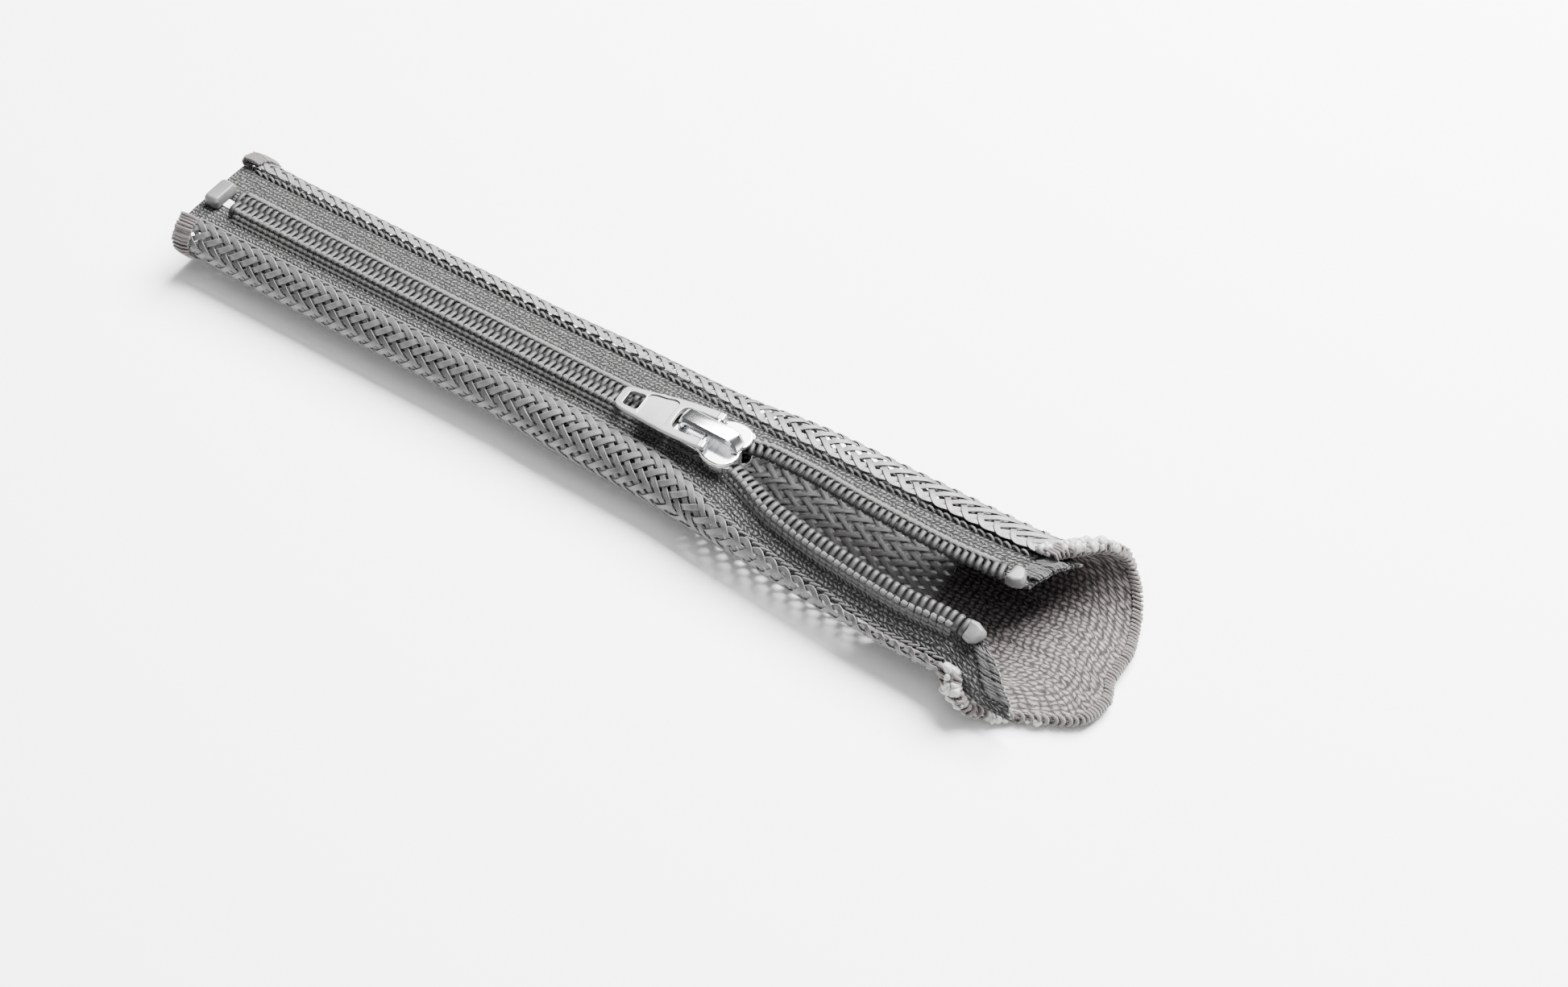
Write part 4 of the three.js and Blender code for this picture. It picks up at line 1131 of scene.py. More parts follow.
@dataclass
class BraidedWall:
    """The braid: ribbons of parallel filaments that zigzag between the seams, two over and two under."""

    finishes: Finishes
    sweep: SweepTree
    ribbon_width: float = 1.17
    filaments: int = 5
    filament_height: float = 0.13
    filament_valley: float = 0.01
    crown: float = 0.03
    back: float = 0.1
    middle: float = 0.5
    floor_gap: float = 0.45
    swing: float = 0.23
    floor_swing: float = 0.19
    clear_height: float = 1.5
    end_reach: float = 2.4
    bend: float = 1.1
    pull_in: float = 0.75
    pull_reach: float = 2.2
    steps: int = 3
    parts: int = 3

    def counts(self) -> tuple[int, int]:
        """Columns and rows of the lattice of crossings."""
        z = SIZES
        columns = 2 * round((z.open_length - z.rear) / z.cell_length / 2)
        at = np.array([-z.slider_length])
        girth = float(sum(girths(at))[0])
        return columns, 2 * round(girth / z.cell_width / 2)

    def place(self, i: np.ndarray, j: np.ndarray, lift: np.ndarray) -> np.ndarray:
        """Points of the wall at lattice places.

        Args:
            i: Columns along the sleeve.
            j: Rows round the wall, from the near seam to the far seam.
            lift: Heights above the wall's inner face.

        Returns:
            One point in millimetres for each row of the arguments.
        """
        z = SIZES
        columns, rows = self.counts()
        s = z.rear + (z.open_length - z.rear) * np.clip(i, 0, columns) / columns
        return wall_point(s, sum(girths(s)) * j / rows, lift)

    def path(self, start: float) -> tuple[np.ndarray, np.ndarray, np.ndarray]:
        """One ribbon's way over the lattice.

        Args:
            start: Column where the ribbon leaves the near seam.

        Returns:
            Columns, rows and the heights of the ribbon's middle as it weaves.
        """
        columns, rows = self.counts()
        i = np.linspace(0, columns, columns * self.steps + 1)
        phase = np.mod(i - start, 2 * rows)
        rising = phase < rows
        row = np.where(rising, phase, 2 * rows - phase)
        edge = np.minimum(row, rows - row)
        rounded = np.sqrt(edge**2 + self.bend**2) - self.pull_in * np.exp(-((edge / self.pull_reach) ** 2))
        j = np.where(row < rows / 2, rounded, rows - rounded)
        signed = np.where(rising == (row < rows / 2), edge, -edge)
        side = np.where(row < rows / 2, 1, -1) * signed / np.sqrt(edge**2 + 0.35**2 + 1e-9)
        far_from_turn = edge > 1.5
        side = np.where(far_from_turn, np.where(rising, 1.0, -1.0), side)
        wave = np.clip(1.35 * np.cos(2 * np.pi * (j - 0.5) / 4), -1, 1)
        return i, j, wave * side

    def build(self) -> None:
        """Sweep every ribbon and dress the wall."""
        columns, rows = self.counts()
        half = self.ribbon_width / 2
        count = 2 * self.filaments
        top = []
        for k in range(count + 1):
            across = -half + self.ribbon_width * k / count
            crown = self.crown * (1 - (across / half) ** 2)
            top.append((crown + (self.filament_height if k % 2 else self.filament_valley), across))
        back = self.back
        profile = [(-back, half - back), *reversed(top), (-back, back - half)]
        shape = profile_object(profile[::-1], "ribbon_profile")
        for part in range(self.parts):
            lines = Lines()
            for k in range(part, rows, self.parts):
                i, j, wave = self.path(2 * k - 2 * rows)
                height = self.place(i, j, np.zeros_like(i))[:, 2] - SIZES.braid_thickness
                clear = np.clip(height / self.clear_height, 0, 1)
                ends = np.clip(np.minimum(i, columns - i) / self.end_reach, 0, 1)
                middle = self.middle + self.floor_gap * clear * ends
                swing = self.floor_swing + (self.swing - self.floor_swing) * clear
                lift = middle + swing * (0.35 + 0.65 * ends) * wave
                lines.add(self.place(i, j, lift), self.place(i, j, lift + 0.1))
            made = self.sweep.run(
                lines.mesh(f"ribbons_{part}"),
                f"braid_ribbons_{part + 1}",
                Profile=shape,
                Finish=self.finishes.ribbon,
            )
            press_up(made)
            finished(made, Body.SLEEVE, Slot.BRAID, *(["braided_wall"] if part == 0 else []))
        bpy.data.objects.remove(shape)


@dataclass
class ZipTape:
    """One knitted tape between its coil and the braid's edge."""

    name: str
    half: ClothHalf
    end_at_zip: float
    end_at_seam: float
    finishes: Finishes
    thickness: float = 0.8
    edge_shift: float = -0.2
    underlap: tuple[float, ...] = (1.1, 1.25, 1.38)
    underlap_drop: float = 0.6
    drop_over: float = 0.15
    columns: int = 14
    rows: int = 260

    def surface(self, s: np.ndarray, share: np.ndarray, lift: float) -> tuple[np.ndarray, np.ndarray]:
        """Points of the tape and their distance from the zip.

        Args:
            s: Stations.
            share: Places from 0 at the coil to 1 at the seam, and on under the braid.
            lift: Height above the zip's level.

        Returns:
            The points and the distances.
        """
        z = SIZES
        opened = np.maximum(s, 0) / z.open_length
        end = self.end_at_zip + (self.end_at_seam - self.end_at_zip) * np.minimum(share, 1)
        at = s + end * opened**2
        seam = self.half.seam(at)
        start = z.tape_edge + self.edge_shift
        d = start + share * (seam - start)
        drop = np.clip((share - 1) / self.drop_over, 0, 1) * self.underlap_drop
        return self.half.point(at, d, lift - drop), d

    def build(self) -> None:
        """Loft the tape as a thin closed sheet and dress it."""
        z = SIZES
        s = np.linspace(-z.closed_length + z.clearance, z.open_length, self.rows + 1)
        shares = np.concatenate([np.linspace(0, 1, self.columns), self.underlap])
        grid_s, grid_share = (a.ravel() for a in np.meshgrid(s, shares, indexing="ij"))
        points, d = self.surface(grid_s, grid_share, -z.clearance)
        wide = len(shares)
        faces = strip_faces(self.rows, wide)
        if self.half.table.side > 0:
            faces = [f[::-1] for f in faces]
        mesh = bpy.data.meshes.new(self.name)
        mesh.from_pydata((points * MM).tolist(), [], faces)
        map_cloth(mesh, np.stack([grid_s, d], 1))
        mesh.materials.append(self.finishes.tape)
        shade_smooth(mesh)
        made = piece_from(mesh, self.name)
        solid = made.modifiers.new("thickness", "SOLIDIFY")
        solid.thickness = self.thickness * MM
        solid.offset = -1
        finished(made, Body.SLEEVE, Slot.TAPE, "zip_tape_" + self.name.rsplit("_", 1)[1])


@dataclass
class SeamStitch:
    """The row of stitches that joins a tape to the braid's edge."""

    name: str
    half: ClothHalf
    finishes: Finishes
    sweep: SweepTree
    pitch: float = 1.7
    radius: float = 0.26
    inset: float = 0.35
    lean: float = 0.3
    rise: tuple[float, ...] = (-0.35, 0.1, 0.3, 0.3, 0.1, -0.35)

    def build(self) -> None:
        """Sew the row and dress it."""
        z = SIZES
        lines = Lines()
        first = -z.closed_length + z.stop_length
        for k in range(math.floor((z.open_length - first - z.hem_lap) / self.pitch)):
            lift = np.array(self.rise)
            run = first + (k + np.linspace(-0.1, 1.1, len(lift))) * self.pitch
            d = self.half.seam(run) - self.inset + np.linspace(self.lean, -self.lean, len(lift))
            lines.add(self.half.point(run, d, lift), self.half.point(run, d, lift + 0.2))
        profile = round_profile(self.radius, 6, "seam_profile")
        made = self.sweep.yarn(lines, "seam_stitches_" + self.name, profile, self.finishes.thread)
        finished(made, Body.SLEEVE, Slot.TAPE)


@dataclass
class ZipCoil:
    """One coil of nylon loops with its stitch rows.

    LOOP_PATH is one loop across the tape and up, from its heel round its head to its lower leg.
    STITCH_ROWS gives each row's distance from the zip, its lowest and highest level, and the length
    of a stitch. STITCH_PROFILE is the thread's section, as levels and places across. All are in
    millimetres.
    """

    LOOP_PATH = (
        (2.75, 0.05),
        (2.86, 0.7),
        (2.65, 1.3),
        (2.15, 1.62),
        (1.4, 1.62),
        (0.6, 1.5),
        (0.0, 1.28),
        (-0.2, 0.95),
        (0.0, 0.62),
        (0.7, 0.45),
        (1.5, 0.4),
    )
    LOOP_MIDDLE = (1.3, 0.8)
    STITCH_ROWS = ((2.4, 1.5, 2.12, 0.85), (3.05, 0.3, 1.0, 1.1), (3.65, -0.3, 0.12, 1.2))
    STITCH_PROFILE = ((0.15, -0.45), (-0.2, -0.5), (-0.2, 0.5), (0.15, 0.45), (0.26, 0))

    name: str
    half: ClothHalf
    loop_first: bool
    finishes: Finishes
    sweep: SweepTree
    repeat: RepeatTree
    loop_width: float = 1.25
    loop_radius: float = 0.33
    rear_gap: float = 2.5
    stitch_lean: float = 0.12

    def loop_unit(self) -> bpy.types.Object:
        """One loop, drawn across the tape: X is along the zip and Y is from heel to head."""
        path = np.array(self.LOOP_PATH)
        side = self.half.table.side
        points = np.stack([np.zeros(len(path)), side * path[:, 0], path[:, 1]], 1)
        centre = np.array([0, side * self.LOOP_MIDDLE[0], self.LOOP_MIDDLE[1]])
        lines = Lines()
        lines.add(points, points + (points - centre))
        half, thick = self.loop_width / 2, self.loop_radius
        turns = [2 * math.pi * k / 8 for k in range(8)]
        profile = profile_object([(thick * math.cos(t), half * math.sin(t)) for t in turns], "loop_profile")
        return self.sweep.yarn(lines, "loop_unit_" + self.name, profile, self.finishes.coil)

    def stations(self) -> np.ndarray:
        """Stations of the loops."""
        z = SIZES
        rear = -z.closed_length + z.stop_length + self.rear_gap
        end = z.open_length - z.stop_length / 2 - z.clearance
        count = math.floor((end - rear) / z.coil_pitch)
        shift = 0 if self.loop_first else z.coil_pitch / 2
        return end - shift - np.arange(count) * z.coil_pitch

    def build(self) -> None:
        """Set the loops and the stitches, and dress them."""
        s = self.stations()
        zero = np.zeros_like(s)
        seats = Seats()
        base = self.half.point(s, zero, zero)
        seats.add(base, self.half.point(s, zero, zero + 1), self.half.point(s + 0.4, zero, zero))
        unit_piece = self.loop_unit()
        made = self.repeat.run(
            seats.mesh("seats"),
            "zip_coil_loops_" + self.name,
            Unit=unit_piece,
            Size_spread=0.02,
            Turn_spread=0.03,
            Seed=7,
            Finish=self.finishes.coil,
        )
        bpy.data.objects.remove(unit_piece)
        finished(made, Body.SLEEVE, Slot.COIL, "zip_coil_" + self.name)
        self.stitches(s)

    def stitches(self, s: np.ndarray) -> None:
        """Three rows of lock stitches: one over the loops and two on the tape beside them."""
        lines = Lines()
        for centre, low, high, length in self.STITCH_ROWS:
            for at in s[2:-1]:
                t = np.linspace(-0.5, 0.5, 5)
                run = at + t * length
                rise = low + (high - low) * np.array([0, 0.85, 1, 0.85, 0])
                d = centre + t * self.stitch_lean
                lines.add(self.half.point(run, d, rise), self.half.point(run, d, rise + 0.1))
        profile = profile_object(self.STITCH_PROFILE, "thread_profile")
        made = self.sweep.yarn(lines, "coil_stitches_" + self.name, profile, self.finishes.thread)
        finished(made, Body.SLEEVE, Slot.COIL)


@dataclass
class EdgeBinding:
    """The ribbed binding over one end of the braid: a folded strip of cloth and yarn round it."""

    name: str
    sign: int
    finishes: Finishes
    sweep: SweepTree
    wraps: int = 88
    wrap_radius: float = 0.36
    wrap_lean: float = 0.9
    jitter: float = 0.15
    play: float = 0.25
    front_gaps: float = 2.2
    flare: float = 1.5
    band_rings: int = 120
    band_low: float = 0.02

    def step(self) -> float:
        """How far the binding stands off the braid's edge."""
        return (self.front_gaps if self.sign > 0 else 1) * SIZES.clearance

    def rim(self, t: np.ndarray, share: np.ndarray, lift: np.ndarray) -> np.ndarray:
        """Points at the end of the braid.

        Args:
            t: Distances beyond the braid's edge.
            share: Places round the wall, from the near seam to the far seam.
            lift: Heights above the wall's inner face.

        Returns:
            One point in millimetres for each row of the arguments.
        """
        z = SIZES
        edge = z.open_length if self.sign > 0 else z.rear
        t, share, lift = np.broadcast_arrays(*(np.asarray(v, float) for v in (t, share, lift)))
        near_girth, far_girth = (g[0] for g in girths(np.array([edge])))
        d = (near_girth + far_girth) * share
        found = np.zeros((len(d), 3))
        for half, mask, part in (
            (NEAR, d <= near_girth, d / near_girth),
            (FAR, d > near_girth, (near_girth + far_girth - d) / far_girth),
        ):
            stretch = 1.0
            if self.sign > 0:
                reach = half.table.reach(1 + np.clip(part, 0, 1))
                stretch = 1 + self.flare * reach * z.lip_length / z.open_length
            s = edge + self.sign * t / stretch
            at = half.point(s, half.seam(s) + part * (half.total(s) - half.seam(s)), lift)
            found[mask] = at[mask]
        return found

    def build(self) -> None:
        """Wrap the yarn round the edge and dress it."""
        z = SIZES
        inside = z.braid_thickness + z.clearance + self.play
        step = self.step()
        tip = step + z.hem_thickness
        rng = np.random.default_rng(5)
        lines = Lines()
        for k in range(self.wraps):
            share = (k + 0.5) / self.wraps
            jitter = rng.uniform(-self.jitter, self.jitter, 3)
            over = [-z.hem_lap + jitter[0], -z.hem_lap * 0.6, -0.6]
            t = np.array([*over, tip - 0.5, tip, tip - 0.3, step, step - 0.9])
            high = inside + z.hem_thickness * 0.55
            lift = np.array([high - 0.5, high, high, high - 0.1, 0.75, 0.1, 0.0, 0.1]) + jitter[1] * 0.4
            lean = np.linspace(0, self.wrap_lean, len(t)) / self.wraps
            place = np.clip(share + lean + jitter[2] / self.wraps, 0, 1)
            points = self.rim(t, np.full(len(t), share) + (place - share), lift)
            middle = self.rim(np.full(len(t), -z.hem_lap / 2), place, np.full(len(t), 0.6))
            lines.add(points, points + (points - middle), 1 + jitter[1])
        profile = round_profile(self.wrap_radius, 7, "wrap_profile")
        made = self.sweep.yarn(lines, self.name + "_wraps", profile, self.finishes.hem)
        press_up(made)
        finished(made, Body.SLEEVE, Slot.HEM, self.name)
        self.band()

    def band(self) -> None:
        """The folded strip of cloth under the wraps."""
        z = SIZES
        inside = z.braid_thickness + z.clearance * 0.6
        step = self.step()
        outline = [
            (-z.hem_lap + 0.4, inside),
            (-z.hem_lap + 0.4, inside + 0.45),
            (-0.3, inside + 0.45),
            (step + 0.35, inside),
            (step + 0.45, 0.4),
            (step + 0.1, 0.2),
            (step - 0.1, 0.5),
            (step - 0.3, inside - 0.1),
        ]
        count = self.band_rings
        t, lift = np.array(outline).T
        rings = np.stack([self.rim(t, np.full(len(t), k / count), lift) for k in range(count + 1)])
        rings[..., 2] = np.maximum(rings[..., 2], self.band_low)
        wide = len(outline)
        faces = [
            (k * wide + q, k * wide + (q + 1) % wide, (k + 1) * wide + (q + 1) % wide, (k + 1) * wide + q)
            for k in range(count)
            for q in range(wide)
        ]
        faces += [tuple(range(wide))[::-1], tuple(count * wide + q for q in range(wide))]
        mesh = bpy.data.meshes.new(self.name + "_band")
        mesh.from_pydata((rings.reshape(-1, 3) * MM).tolist(), [], faces)
        index = np.arange(len(mesh.vertices))
        map_cloth(mesh, np.stack([(index // wide) * 0.5, (index % wide) * 0.8], 1))
        mesh.materials.append(self.finishes.cuff)
        shade_smooth(mesh)
        tidy = bmesh.new()
        tidy.from_mesh(mesh)
        bmesh.ops.recalc_face_normals(tidy, faces=tidy.faces)
        tidy.to_mesh(mesh)
        tidy.free()
        finished(piece_from(mesh, self.name + "_band"), Body.SLEEVE, Slot.HEM)


@dataclass
class Lining:
    """The knit that lines the open end, seen on the wall's inner face."""

    finishes: Finishes
    depth: float = 24
    thickness: float = 0.2
    rows: int = 40
    columns: int = 90

    def build(self) -> None:
        """Lay the lining just inside the ribbons and dress it."""
        z = SIZES
        s = np.linspace(z.open_length - self.depth, z.open_length + 0.4, self.rows + 1)
        share = np.linspace(0.01, 0.99, self.columns + 1)
        grid_s, grid_share = (a.ravel() for a in np.meshgrid(s, share, indexing="ij"))
        d = sum(girths(grid_s)) * grid_share
        wave = 0.12 * np.sin(grid_s * 2.1 + 3 * np.sin(d * 0.5)) + 0.1 * np.sin(d * 1.7)
        lift = 0.16 + wave * np.clip((grid_s - s[0]) / 5, 0, 1)
        points = wall_point(grid_s, d, lift)
        wide = self.columns + 1
        mesh = bpy.data.meshes.new("front_lining")
        mesh.from_pydata((points * MM).tolist(), [], strip_faces(self.rows, wide))
        map_cloth(mesh, np.stack([grid_s, d], 1))
        mesh.materials.append(self.finishes.cuff)
        shade_smooth(mesh)
        made = piece_from(mesh, "front_lining")
        solid = made.modifiers.new("thickness", "SOLIDIFY")
        solid.thickness = self.thickness * MM
        solid.offset = 0
        finished(made, Body.SLEEVE, Slot.HEM)


@dataclass
class Hardware:
    """The slider's cap, the lock leaf and the stops, softened from their solids."""

    WELD = 0.000002
    FLAT_DEG = 1.5
    CORNER_DEG = 28

    finishes: Finishes

    def soften(
        self, node: str, look: bpy.types.Material, width: float, segments: int, body: Body, slot: Slot
    ) -> None:
        """A merged copy of a node with rounded edges, which stands for the node.

        Args:
            node: The node.
            look: Its finish.
            width: How far its edges are rounded, in millimetres.
            segments: Steps round each edge.
            body: The body that it rides on.
            slot: The record's slot.
        """
        mesh = frame["nodes"][node].data.copy()
        work = bmesh.new()
        work.from_mesh(mesh)
        bmesh.ops.remove_doubles(work, verts=work.verts, dist=self.WELD)
        bmesh.ops.dissolve_limit(
            work,
            angle_limit=math.radians(self.FLAT_DEG),
            verts=work.verts,
            edges=work.edges,
            use_dissolve_boundaries=False,
        )
        work.to_mesh(mesh)
        work.free()
        mesh.materials.clear()
        mesh.materials.append(look)
        shade_smooth(mesh)
        made = piece_from(mesh, node + "_finish")
        bevel = made.modifiers.new("round", "BEVEL")
        bevel.width = width * MM
        bevel.segments = segments
        bevel.limit_method = "ANGLE"
        bevel.angle_limit = math.radians(self.CORNER_DEG)
        bevel.harden_normals = True
        bevel.use_clamp_overlap = True
        finished(made, body, slot, node)

    def build(self) -> None:
        """Dress every hard piece."""
        f = self.finishes
        self.soften("slider_cap", f.nickel, 0.3, 4, Body.SLIDER, Slot.NICKEL)
        self.soften("lock_pawl", f.nickel, 0.06, 2, Body.SLIDER, Slot.NICKEL)
        for node in ("top_stop_near", "top_stop_far", "bottom_stop"):
            self.soften(node, f.stop, 0.35, 3, Body.SLEEVE, Slot.STOP)


def plate(loops: list[Loop], low: float, high: float, rounding: float) -> bpy.types.Mesh:
    """A flat plate with rounded edges and holes.

    Args:
        loops: The outline and the outlines of its holes, as corners in millimetres.
        low: Level of its underside.
        high: Level of its top.
        rounding: Radius of its edges.

    Returns:
        The plate's mesh in metres.
    """
    curve = bpy.data.curves.new("plate", "CURVE")
    curve.dimensions = "2D"
    curve.fill_mode = "BOTH"
    curve.extrude = ((high - low) / 2 - rounding) * MM
    curve.bevel_depth = rounding * MM
    curve.offset = -rounding * MM
    curve.bevel_resolution = 3
    curve.resolution_u = 8
    for loop in loops:
        spline = curve.splines.new("BEZIER")
        spline.bezier_points.add(len(loop) - 1)
        spline.use_cyclic_u = True
        for point, (x, y) in zip(spline.bezier_points, loop):
            point.co = (x * MM, y * MM, 0)
            point.handle_left_type = point.handle_right_type = "AUTO"
    holder = piece_from(curve, "plate")
    graph = bpy.context.evaluated_depsgraph_get()
    mesh = bpy.data.meshes.new_from_object(holder.evaluated_get(graph))
    bpy.data.objects.remove(holder)
    mesh.transform(Matrix.Translation((0, 0, (low + high) / 2 * MM)))
    return mesh


def even(rows: Loop) -> Loop:
    """A closed outline, even about y = 0.

    Args:
        rows: Its corners on the side of positive y, in order.

    Returns:
        The corners of the whole outline.
    """
    return [*rows, *[(x, -y) for x, y in reversed(rows) if y > 0]]


def round_bar(x: float, low: float, high: float, radius: float) -> bpy.types.Mesh:
    """A round bar that lies across the slider.

    Args:
        x: Its place along the slider, in millimetres.
        low: The y of its first end.
        high: The y of its other end.
        radius: Its radius.

    Returns:
        The bar's mesh in metres.
    """
    work = bmesh.new()
    turn = Matrix.Rotation(math.pi / 2, 4, "X")
    seat = Matrix.Translation((x * MM, (low + high) / 2 * MM, 0)) @ turn
    long = (high - low) * MM
    bmesh.ops.create_cone(
        work, cap_ends=True, segments=28, radius1=radius * MM, radius2=radius * MM, depth=long, matrix=seat
    )
    mesh = bpy.data.meshes.new("bar")
    work.to_mesh(mesh)
    work.free()
    return mesh


def joined(
    name: str, meshes: list[bpy.types.Mesh], seat: Matrix, look: bpy.types.Material
) -> bpy.types.Object:
    """One piece from several meshes.

    Args:
        name: The piece's name.
        meshes: Its parts.
        seat: Where they are set.
        look: Its finish.

    Returns:
        The piece, with its sharp edges kept sharp.
    """
    work = bmesh.new()
    for mesh in meshes:
        work.from_mesh(mesh)
    work.transform(seat)
    whole = bpy.data.meshes.new(name)
    work.to_mesh(whole)
    work.free()
    whole.materials.append(look)
    shade_smooth(whole)
    made = piece_from(whole, name)
    edges = made.modifiers.new("edges", "EDGE_SPLIT")
    edges.split_angle = math.radians(SHARP_DEG)
    return made


@dataclass
class SliderAndPull:
    """The cast slider with its two lobes, and the pull that lies back from it.

    The outlines are corners in millimetres on the side of positive y. The slider's are measured from
    its nose, and the pull's from its pivot.
    """

    PLATE_SIDE = (
        (-14.4, 1.2), (-14.35, 2.8), (-13.7, 3.7), (-12.2, 3.95), (-9.2, 4.05), (-7.5, 4.3), (-6.4, 4.95),
        (-5.0, 5.45), (-3.3, 5.6), (-1.7, 5.2), (-0.55, 4.1), (-0.05, 2.7), (-0.15, 1.2), (-0.75, 0.0),
    )
    POST = ((-5.5, 0.1), (-3.1, 0.65), (-1.6, 1.0), (-0.9, 0.75))
    FLANGE_ROWS = slice(3, 11)
    FLANGE_INSIDE = ((-0.9, 4.9), (-3.3, 4.6), (-6.4, 3.95), (-9.2, 3.5), (-13.9, 3.45))
    PULL_SIDE = (
        (-19.95, 0.8), (-19.8, 1.9), (-19.2, 2.5), (-18, 2.85), (-15, 3.3), (-9, 4.2), (-4, 4.6),
    )
    WINDOW = (
        (-18.45, 0.6), (-18.4, 1.45), (-18.0, 1.75), (-16.9, 1.88), (-15.7, 1.98), (-15.2, 1.7),
        (-15.1, 0.7),
    )
    PANEL = (
        (-14.75, 0.8), (-14.7, 2.4), (-14.3, 2.75), (-11.5, 3.15), (-9.1, 3.4), (-8.65, 3.05), (-8.6, 0.9),
    )

    finishes: Finishes
    plate_low: float = 2.35
    plate_high: float = 3.2
    wing_low: float = -2.3
    wing_high: float = -1.45
    wing_share: float = 0.86
    flange_low: float = 0.05
    overlap: float = 0.2
    pivot: tuple[float, float] = (-7.25, 4.2)
    pull_half: float = 4.7
    pull_thickness: float = 1.15
    slot_half: float = 2.98
    panel_depth: float = 0.3
    bar_radius: float = 0.6
    knuckle_radius: float = 0.62
    tilt: float = 1.8
    slant: float = 5.0

    def body(self) -> None:
        """The two plates, the flanges between them and the post at the nose."""
        wing = [(x, y * self.wing_share) for x, y in self.PLATE_SIDE]
        inside_plate = self.plate_low + self.overlap
        meshes = [
            plate([even(self.PLATE_SIDE)], self.plate_low, self.plate_high, 0.32),
            plate([even(wing)], self.wing_low, self.wing_high, 0.3),
            plate([even(self.POST)], self.wing_low + self.overlap, inside_plate, 0.05),
        ]
        for side in (-1, 1):
            loop = [(x, side * y) for x, y in (*self.PLATE_SIDE[self.FLANGE_ROWS], *self.FLANGE_INSIDE)]
            meshes.append(plate([loop], self.flange_low, inside_plate, 0.1))
        seat = Matrix.Translation((SIZES.nose_x * MM, 0, SIZES.zip_level * MM))
        made = joined("slider_casting", meshes, seat, self.finishes.nickel)
        finished(made, Body.SLIDER, Slot.NICKEL, "slider_body")

    def pull(self) -> None:
        """The pull: a tapered plate with a small window, a sunk bare panel and two ears on a bar."""
        wide, slot, thick = self.pull_half, self.slot_half, self.pull_thickness / 2
        ear = [(-0.6, wide), (0.35, wide - 0.1), (0.5, (wide + slot) / 2), (0.35, slot + 0.1)]
        mouth = [(-0.6, slot), (-5.4, slot), (-6.8, slot * 0.9), (-7.5, slot * 0.6), (-7.65, slot * 0.2)]
        outer, hole = even([*self.PULL_SIDE, *ear, *mouth]), even(self.WINDOW)
        step = thick - self.panel_depth
        meshes = [
            plate([outer, hole], -thick, step, 0.26),
            plate([outer, hole, even(self.PANEL)], step - 0.3, thick, 0.11),
            round_bar(0, -slot - 0.3, slot + 0.3, self.bar_radius),
        ]
        for x in (-0.75, -0.1, 0.55):
            for side in (-1, 1):
                low, high = sorted((side * (slot + 0.12), side * (wide - 0.15)))
                meshes.append(round_bar(x * 0.55, low, high, self.knuckle_radius))
        place = Vector((SIZES.nose_x + self.pivot[0], 0, SIZES.zip_level + self.pivot[1])) * MM
        seat = (
            Matrix.Translation(place)
            @ Matrix.Rotation(-math.radians(self.tilt), 4, "Y")
            @ Matrix.Rotation(math.radians(self.slant), 4, "Z")
        )
        made = joined("pull_plate", meshes, seat, self.finishes.satin)
        finished(made, Body.PULL, Slot.SATIN, "pull_tab")

    def build(self) -> None:
        """Build both."""
        self.body()
        self.pull()


@dataclass
class TapeEnd:
    """The raw end of one tape: rows of knit loops, of which the first curls over the edge.

    The curls are given in millimetres, past the tape's edge and above it.
    """

    CURL_RUN = np.array([-1.4, -0.9, -0.3, 0.25, 0.3, -0.1])
    CURL_RISE = np.array([0.05, 0.42, 0.62, 0.3, -0.35, -0.8])
    ROW_RISE = np.array([0.0, 0.3, 0.34, 0.02])

    tape: ZipTape
    finishes: Finishes
    sweep: SweepTree
    loops: int = 13
    knit_rows: int = 3
    row_gap: float = 0.9
    reach: float = 0.3
    radius: float = 0.26

    def bent(self, s: np.ndarray, places: np.ndarray, lift: np.ndarray) -> np.ndarray:
        """Points of a loop that has its own height at each point."""
        return np.concatenate(
            [self.tape.surface(s[q : q + 1], places[q : q + 1], lift[q])[0] for q in range(len(s))]
        )

    def build(self) -> None:
        """Curl the loops over the edge and dress them."""
        rng = np.random.default_rng(11)
        lines = Lines()
        for k in range(self.loops):
            share = 0.24 + 0.78 * (k + rng.uniform(0.2, 0.8)) / self.loops
            for row in range(self.knit_rows):
                back = self.row_gap * row + rng.uniform(-0.15, 0.15)
                s = np.minimum(SIZES.open_length + self.CURL_RUN - back, SIZES.open_length + self.reach)
                high = self.CURL_RISE + 0.12 * rng.uniform(-1, 1)
                if row:
                    high = self.ROW_RISE
                    s = s[: len(high)] - 0.1
                places = np.full(len(s), share) + np.linspace(-0.5, 0.5, len(s)) * 0.8 / self.loops
                above = self.bent(s, places, high + 0.3)
                lines.add(self.bent(s, places, high), above, rng.uniform(0.8, 1.25))
        profile = round_profile(self.radius, 6, "end_profile")
        made = self.sweep.yarn(lines, self.tape.name + "_end", profile, self.finishes.fringe)
        finished(made, Body.SLEEVE, Slot.TAPE)


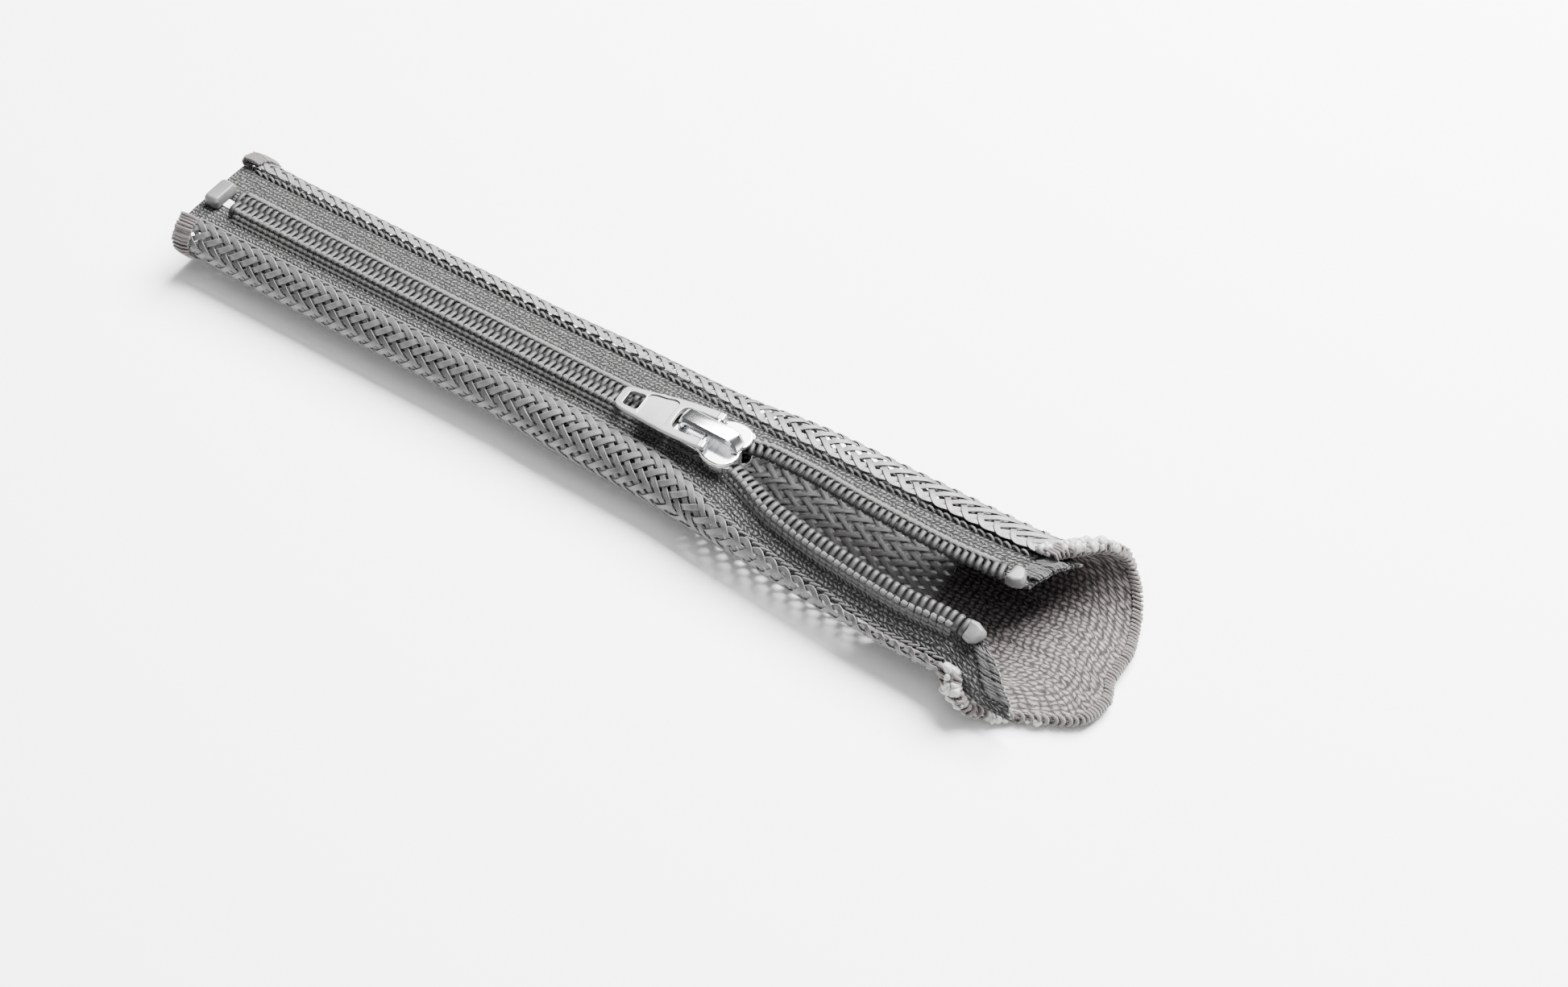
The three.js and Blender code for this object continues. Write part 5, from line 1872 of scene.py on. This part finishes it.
@dataclass
class MeltedEnds:
    """Pale lumps where the braid's cut ends were melted, beside the two seams."""

    binding: EdgeBinding
    finishes: Finishes
    repeat: RepeatTree
    lumps: int = 150
    radius: float = 0.8
    roughness: float = 0.28
    lowest: float = 0.9

    def lump(self) -> bpy.types.Object:
        """One uneven lump."""
        work = bmesh.new()
        bmesh.ops.create_icosphere(work, subdivisions=2, radius=self.radius * MM)
        rng = np.random.default_rng(3)
        for v in work.verts:
            v.co *= 1 + self.roughness * rng.uniform(-1, 1)
        mesh = bpy.data.meshes.new("lump")
        work.to_mesh(mesh)
        work.free()
        shade_smooth(mesh)
        return piece_from(mesh, "lump")

    def build(self) -> None:
        """Scatter the lumps along the binding near the seams and dress them."""
        rng = np.random.default_rng(17)
        near = rng.uniform(0.0, 0.2, self.lumps * 2 // 3)
        far = 1 - rng.uniform(0.0, 0.16, self.lumps - len(near))
        share = np.concatenate([near, far])
        t = rng.uniform(-2.6, 0.9, self.lumps)
        lift = rng.uniform(1.0, 1.9, self.lumps)
        base = self.binding.rim(t, share, lift)
        base[:, 2] = np.maximum(base[:, 2], self.lowest)
        seats = Seats()
        seats.add(base, self.binding.rim(t, share, lift + 1), self.binding.rim(t + 0.4, share, lift))
        unit_piece = self.lump()
        made = self.repeat.run(
            seats.mesh("lump_seats"),
            "melted_ends",
            Unit=unit_piece,
            Size_spread=0.45,
            Turn_spread=3.0,
            Seed=4,
            Finish=self.finishes.melt,
        )
        bpy.data.objects.remove(unit_piece)
        finished(made, Body.SLEEVE, Slot.HEM)


@dataclass
class Studio:
    """The pale floor, the soft lights and the camera.

    Each light is given by its name, azimuth, elevation, distance, size and power.
    """

    LIGHTS = (
        ("key", 172, 54, 0.9, 0.66, 88),
        ("card", 214, 50, 0.9, 0.13, 0.7),
        ("fill", 20, 35, 1.2, 0.8, 2.2),
        ("top", 30, 85, 1.3, 0.9, 7),
    )

    target: tuple[float, float, float] = (0.035386, 0.00092, 0.008)
    azimuth: float = 33.6
    elevation: float = 50.0
    distance: float = 0.5
    lens: float = 61.3
    floor_half: float = 6.0
    floor_glow: float = 0.08
    world_light: float = 0.12

    def direction(self, azimuth: float, elevation: float) -> Vector:
        """The way from the object toward a place round it."""
        a, e = math.radians(azimuth), math.radians(elevation)
        return Vector((math.sin(a) * math.cos(e), -math.cos(a) * math.cos(e), math.sin(e)))

    def camera(self) -> None:
        """Create the camera."""
        data = bpy.data.cameras.new("camera")
        data.sensor_width = 36
        data.lens = self.lens
        data.clip_start, data.clip_end = 0.01, 20
        made = bpy.data.objects.new("camera", data)
        bpy.context.scene.collection.objects.link(made)
        back = self.direction(self.azimuth, self.elevation)
        made.location = Vector(self.target) + back * self.distance
        made.rotation_euler = (-back).to_track_quat("-Z", "Y").to_euler()
        bpy.context.scene.camera = made

    def light(
        self, name: str, azimuth: float, elevation: float, distance: float, size: float, power: float
    ) -> None:
        """A soft square light that faces the object."""
        data = bpy.data.lights.new(name, "AREA")
        data.shape = "SQUARE"
        data.size = size
        data.energy = power
        made = bpy.data.objects.new(name, data)
        bpy.context.scene.collection.objects.link(made)
        way = self.direction(azimuth, elevation)
        made.location = Vector(self.target) + way * distance
        made.rotation_euler = (-way).to_track_quat("-Z", "Y").to_euler()

    def build(self) -> None:
        """Set the stage."""
        self.camera()
        mesh = bpy.data.meshes.new("floor")
        wide = self.floor_half
        corners = [(-wide, -wide, 0), (wide, -wide, 0), (wide, wide, 0), (-wide, wide, 0)]
        mesh.from_pydata(corners, [], [(0, 1, 2, 3)])
        look = Finish("studio_floor")
        look.shader.inputs["Base Color"].default_value = (0.9, 0.9, 0.9, 1)
        look.shader.inputs["Roughness"].default_value = 0.9
        look.shader.inputs["Specular IOR Level"].default_value = 0.1
        look.shader.inputs["Emission Color"].default_value = (1, 1, 1, 1)
        look.shader.inputs["Emission Strength"].default_value = self.floor_glow
        mesh.materials.append(look.material)
        floor = piece_from(mesh, "floor")
        for row in self.LIGHTS:
            self.light(*row)
        world = bpy.data.worlds.new("studio")
        bpy.context.scene.world = world
        world.use_nodes = True
        background = world.node_tree.nodes["Background"]
        background.inputs["Color"].default_value = (1, 1, 1, 1)
        background.inputs["Strength"].default_value = self.world_light


def main() -> None:
    """Build every piece in order."""
    logging.basicConfig(level=logging.INFO, format="%(name)s %(message)s")
    finishes = Finishes()
    sweep, repeat = SweepTree(), RepeatTree()
    BraidedWall(finishes, sweep).build()
    for tape in (
        ZipTape("tape_cloth_near", NEAR, 2.2, 11, finishes),
        ZipTape("tape_cloth_far", FAR, 2.5, 3, finishes),
    ):
        tape.build()
        TapeEnd(tape, finishes, sweep).build()
    SeamStitch("near", NEAR, finishes, sweep).build()
    SeamStitch("far", FAR, finishes, sweep).build()
    ZipCoil("near", NEAR, True, finishes, sweep, repeat).build()
    ZipCoil("far", FAR, False, finishes, sweep, repeat).build()
    front_hem = EdgeBinding("front_hem", 1, finishes, sweep)
    front_hem.build()
    MeltedEnds(front_hem, finishes, repeat).build()
    EdgeBinding("rear_hem", -1, finishes, sweep).build()
    Lining(finishes).build()
    Hardware(finishes).build()
    SliderAndPull(finishes).build()
    Studio().build()


if __name__ == "__main__":
    main()
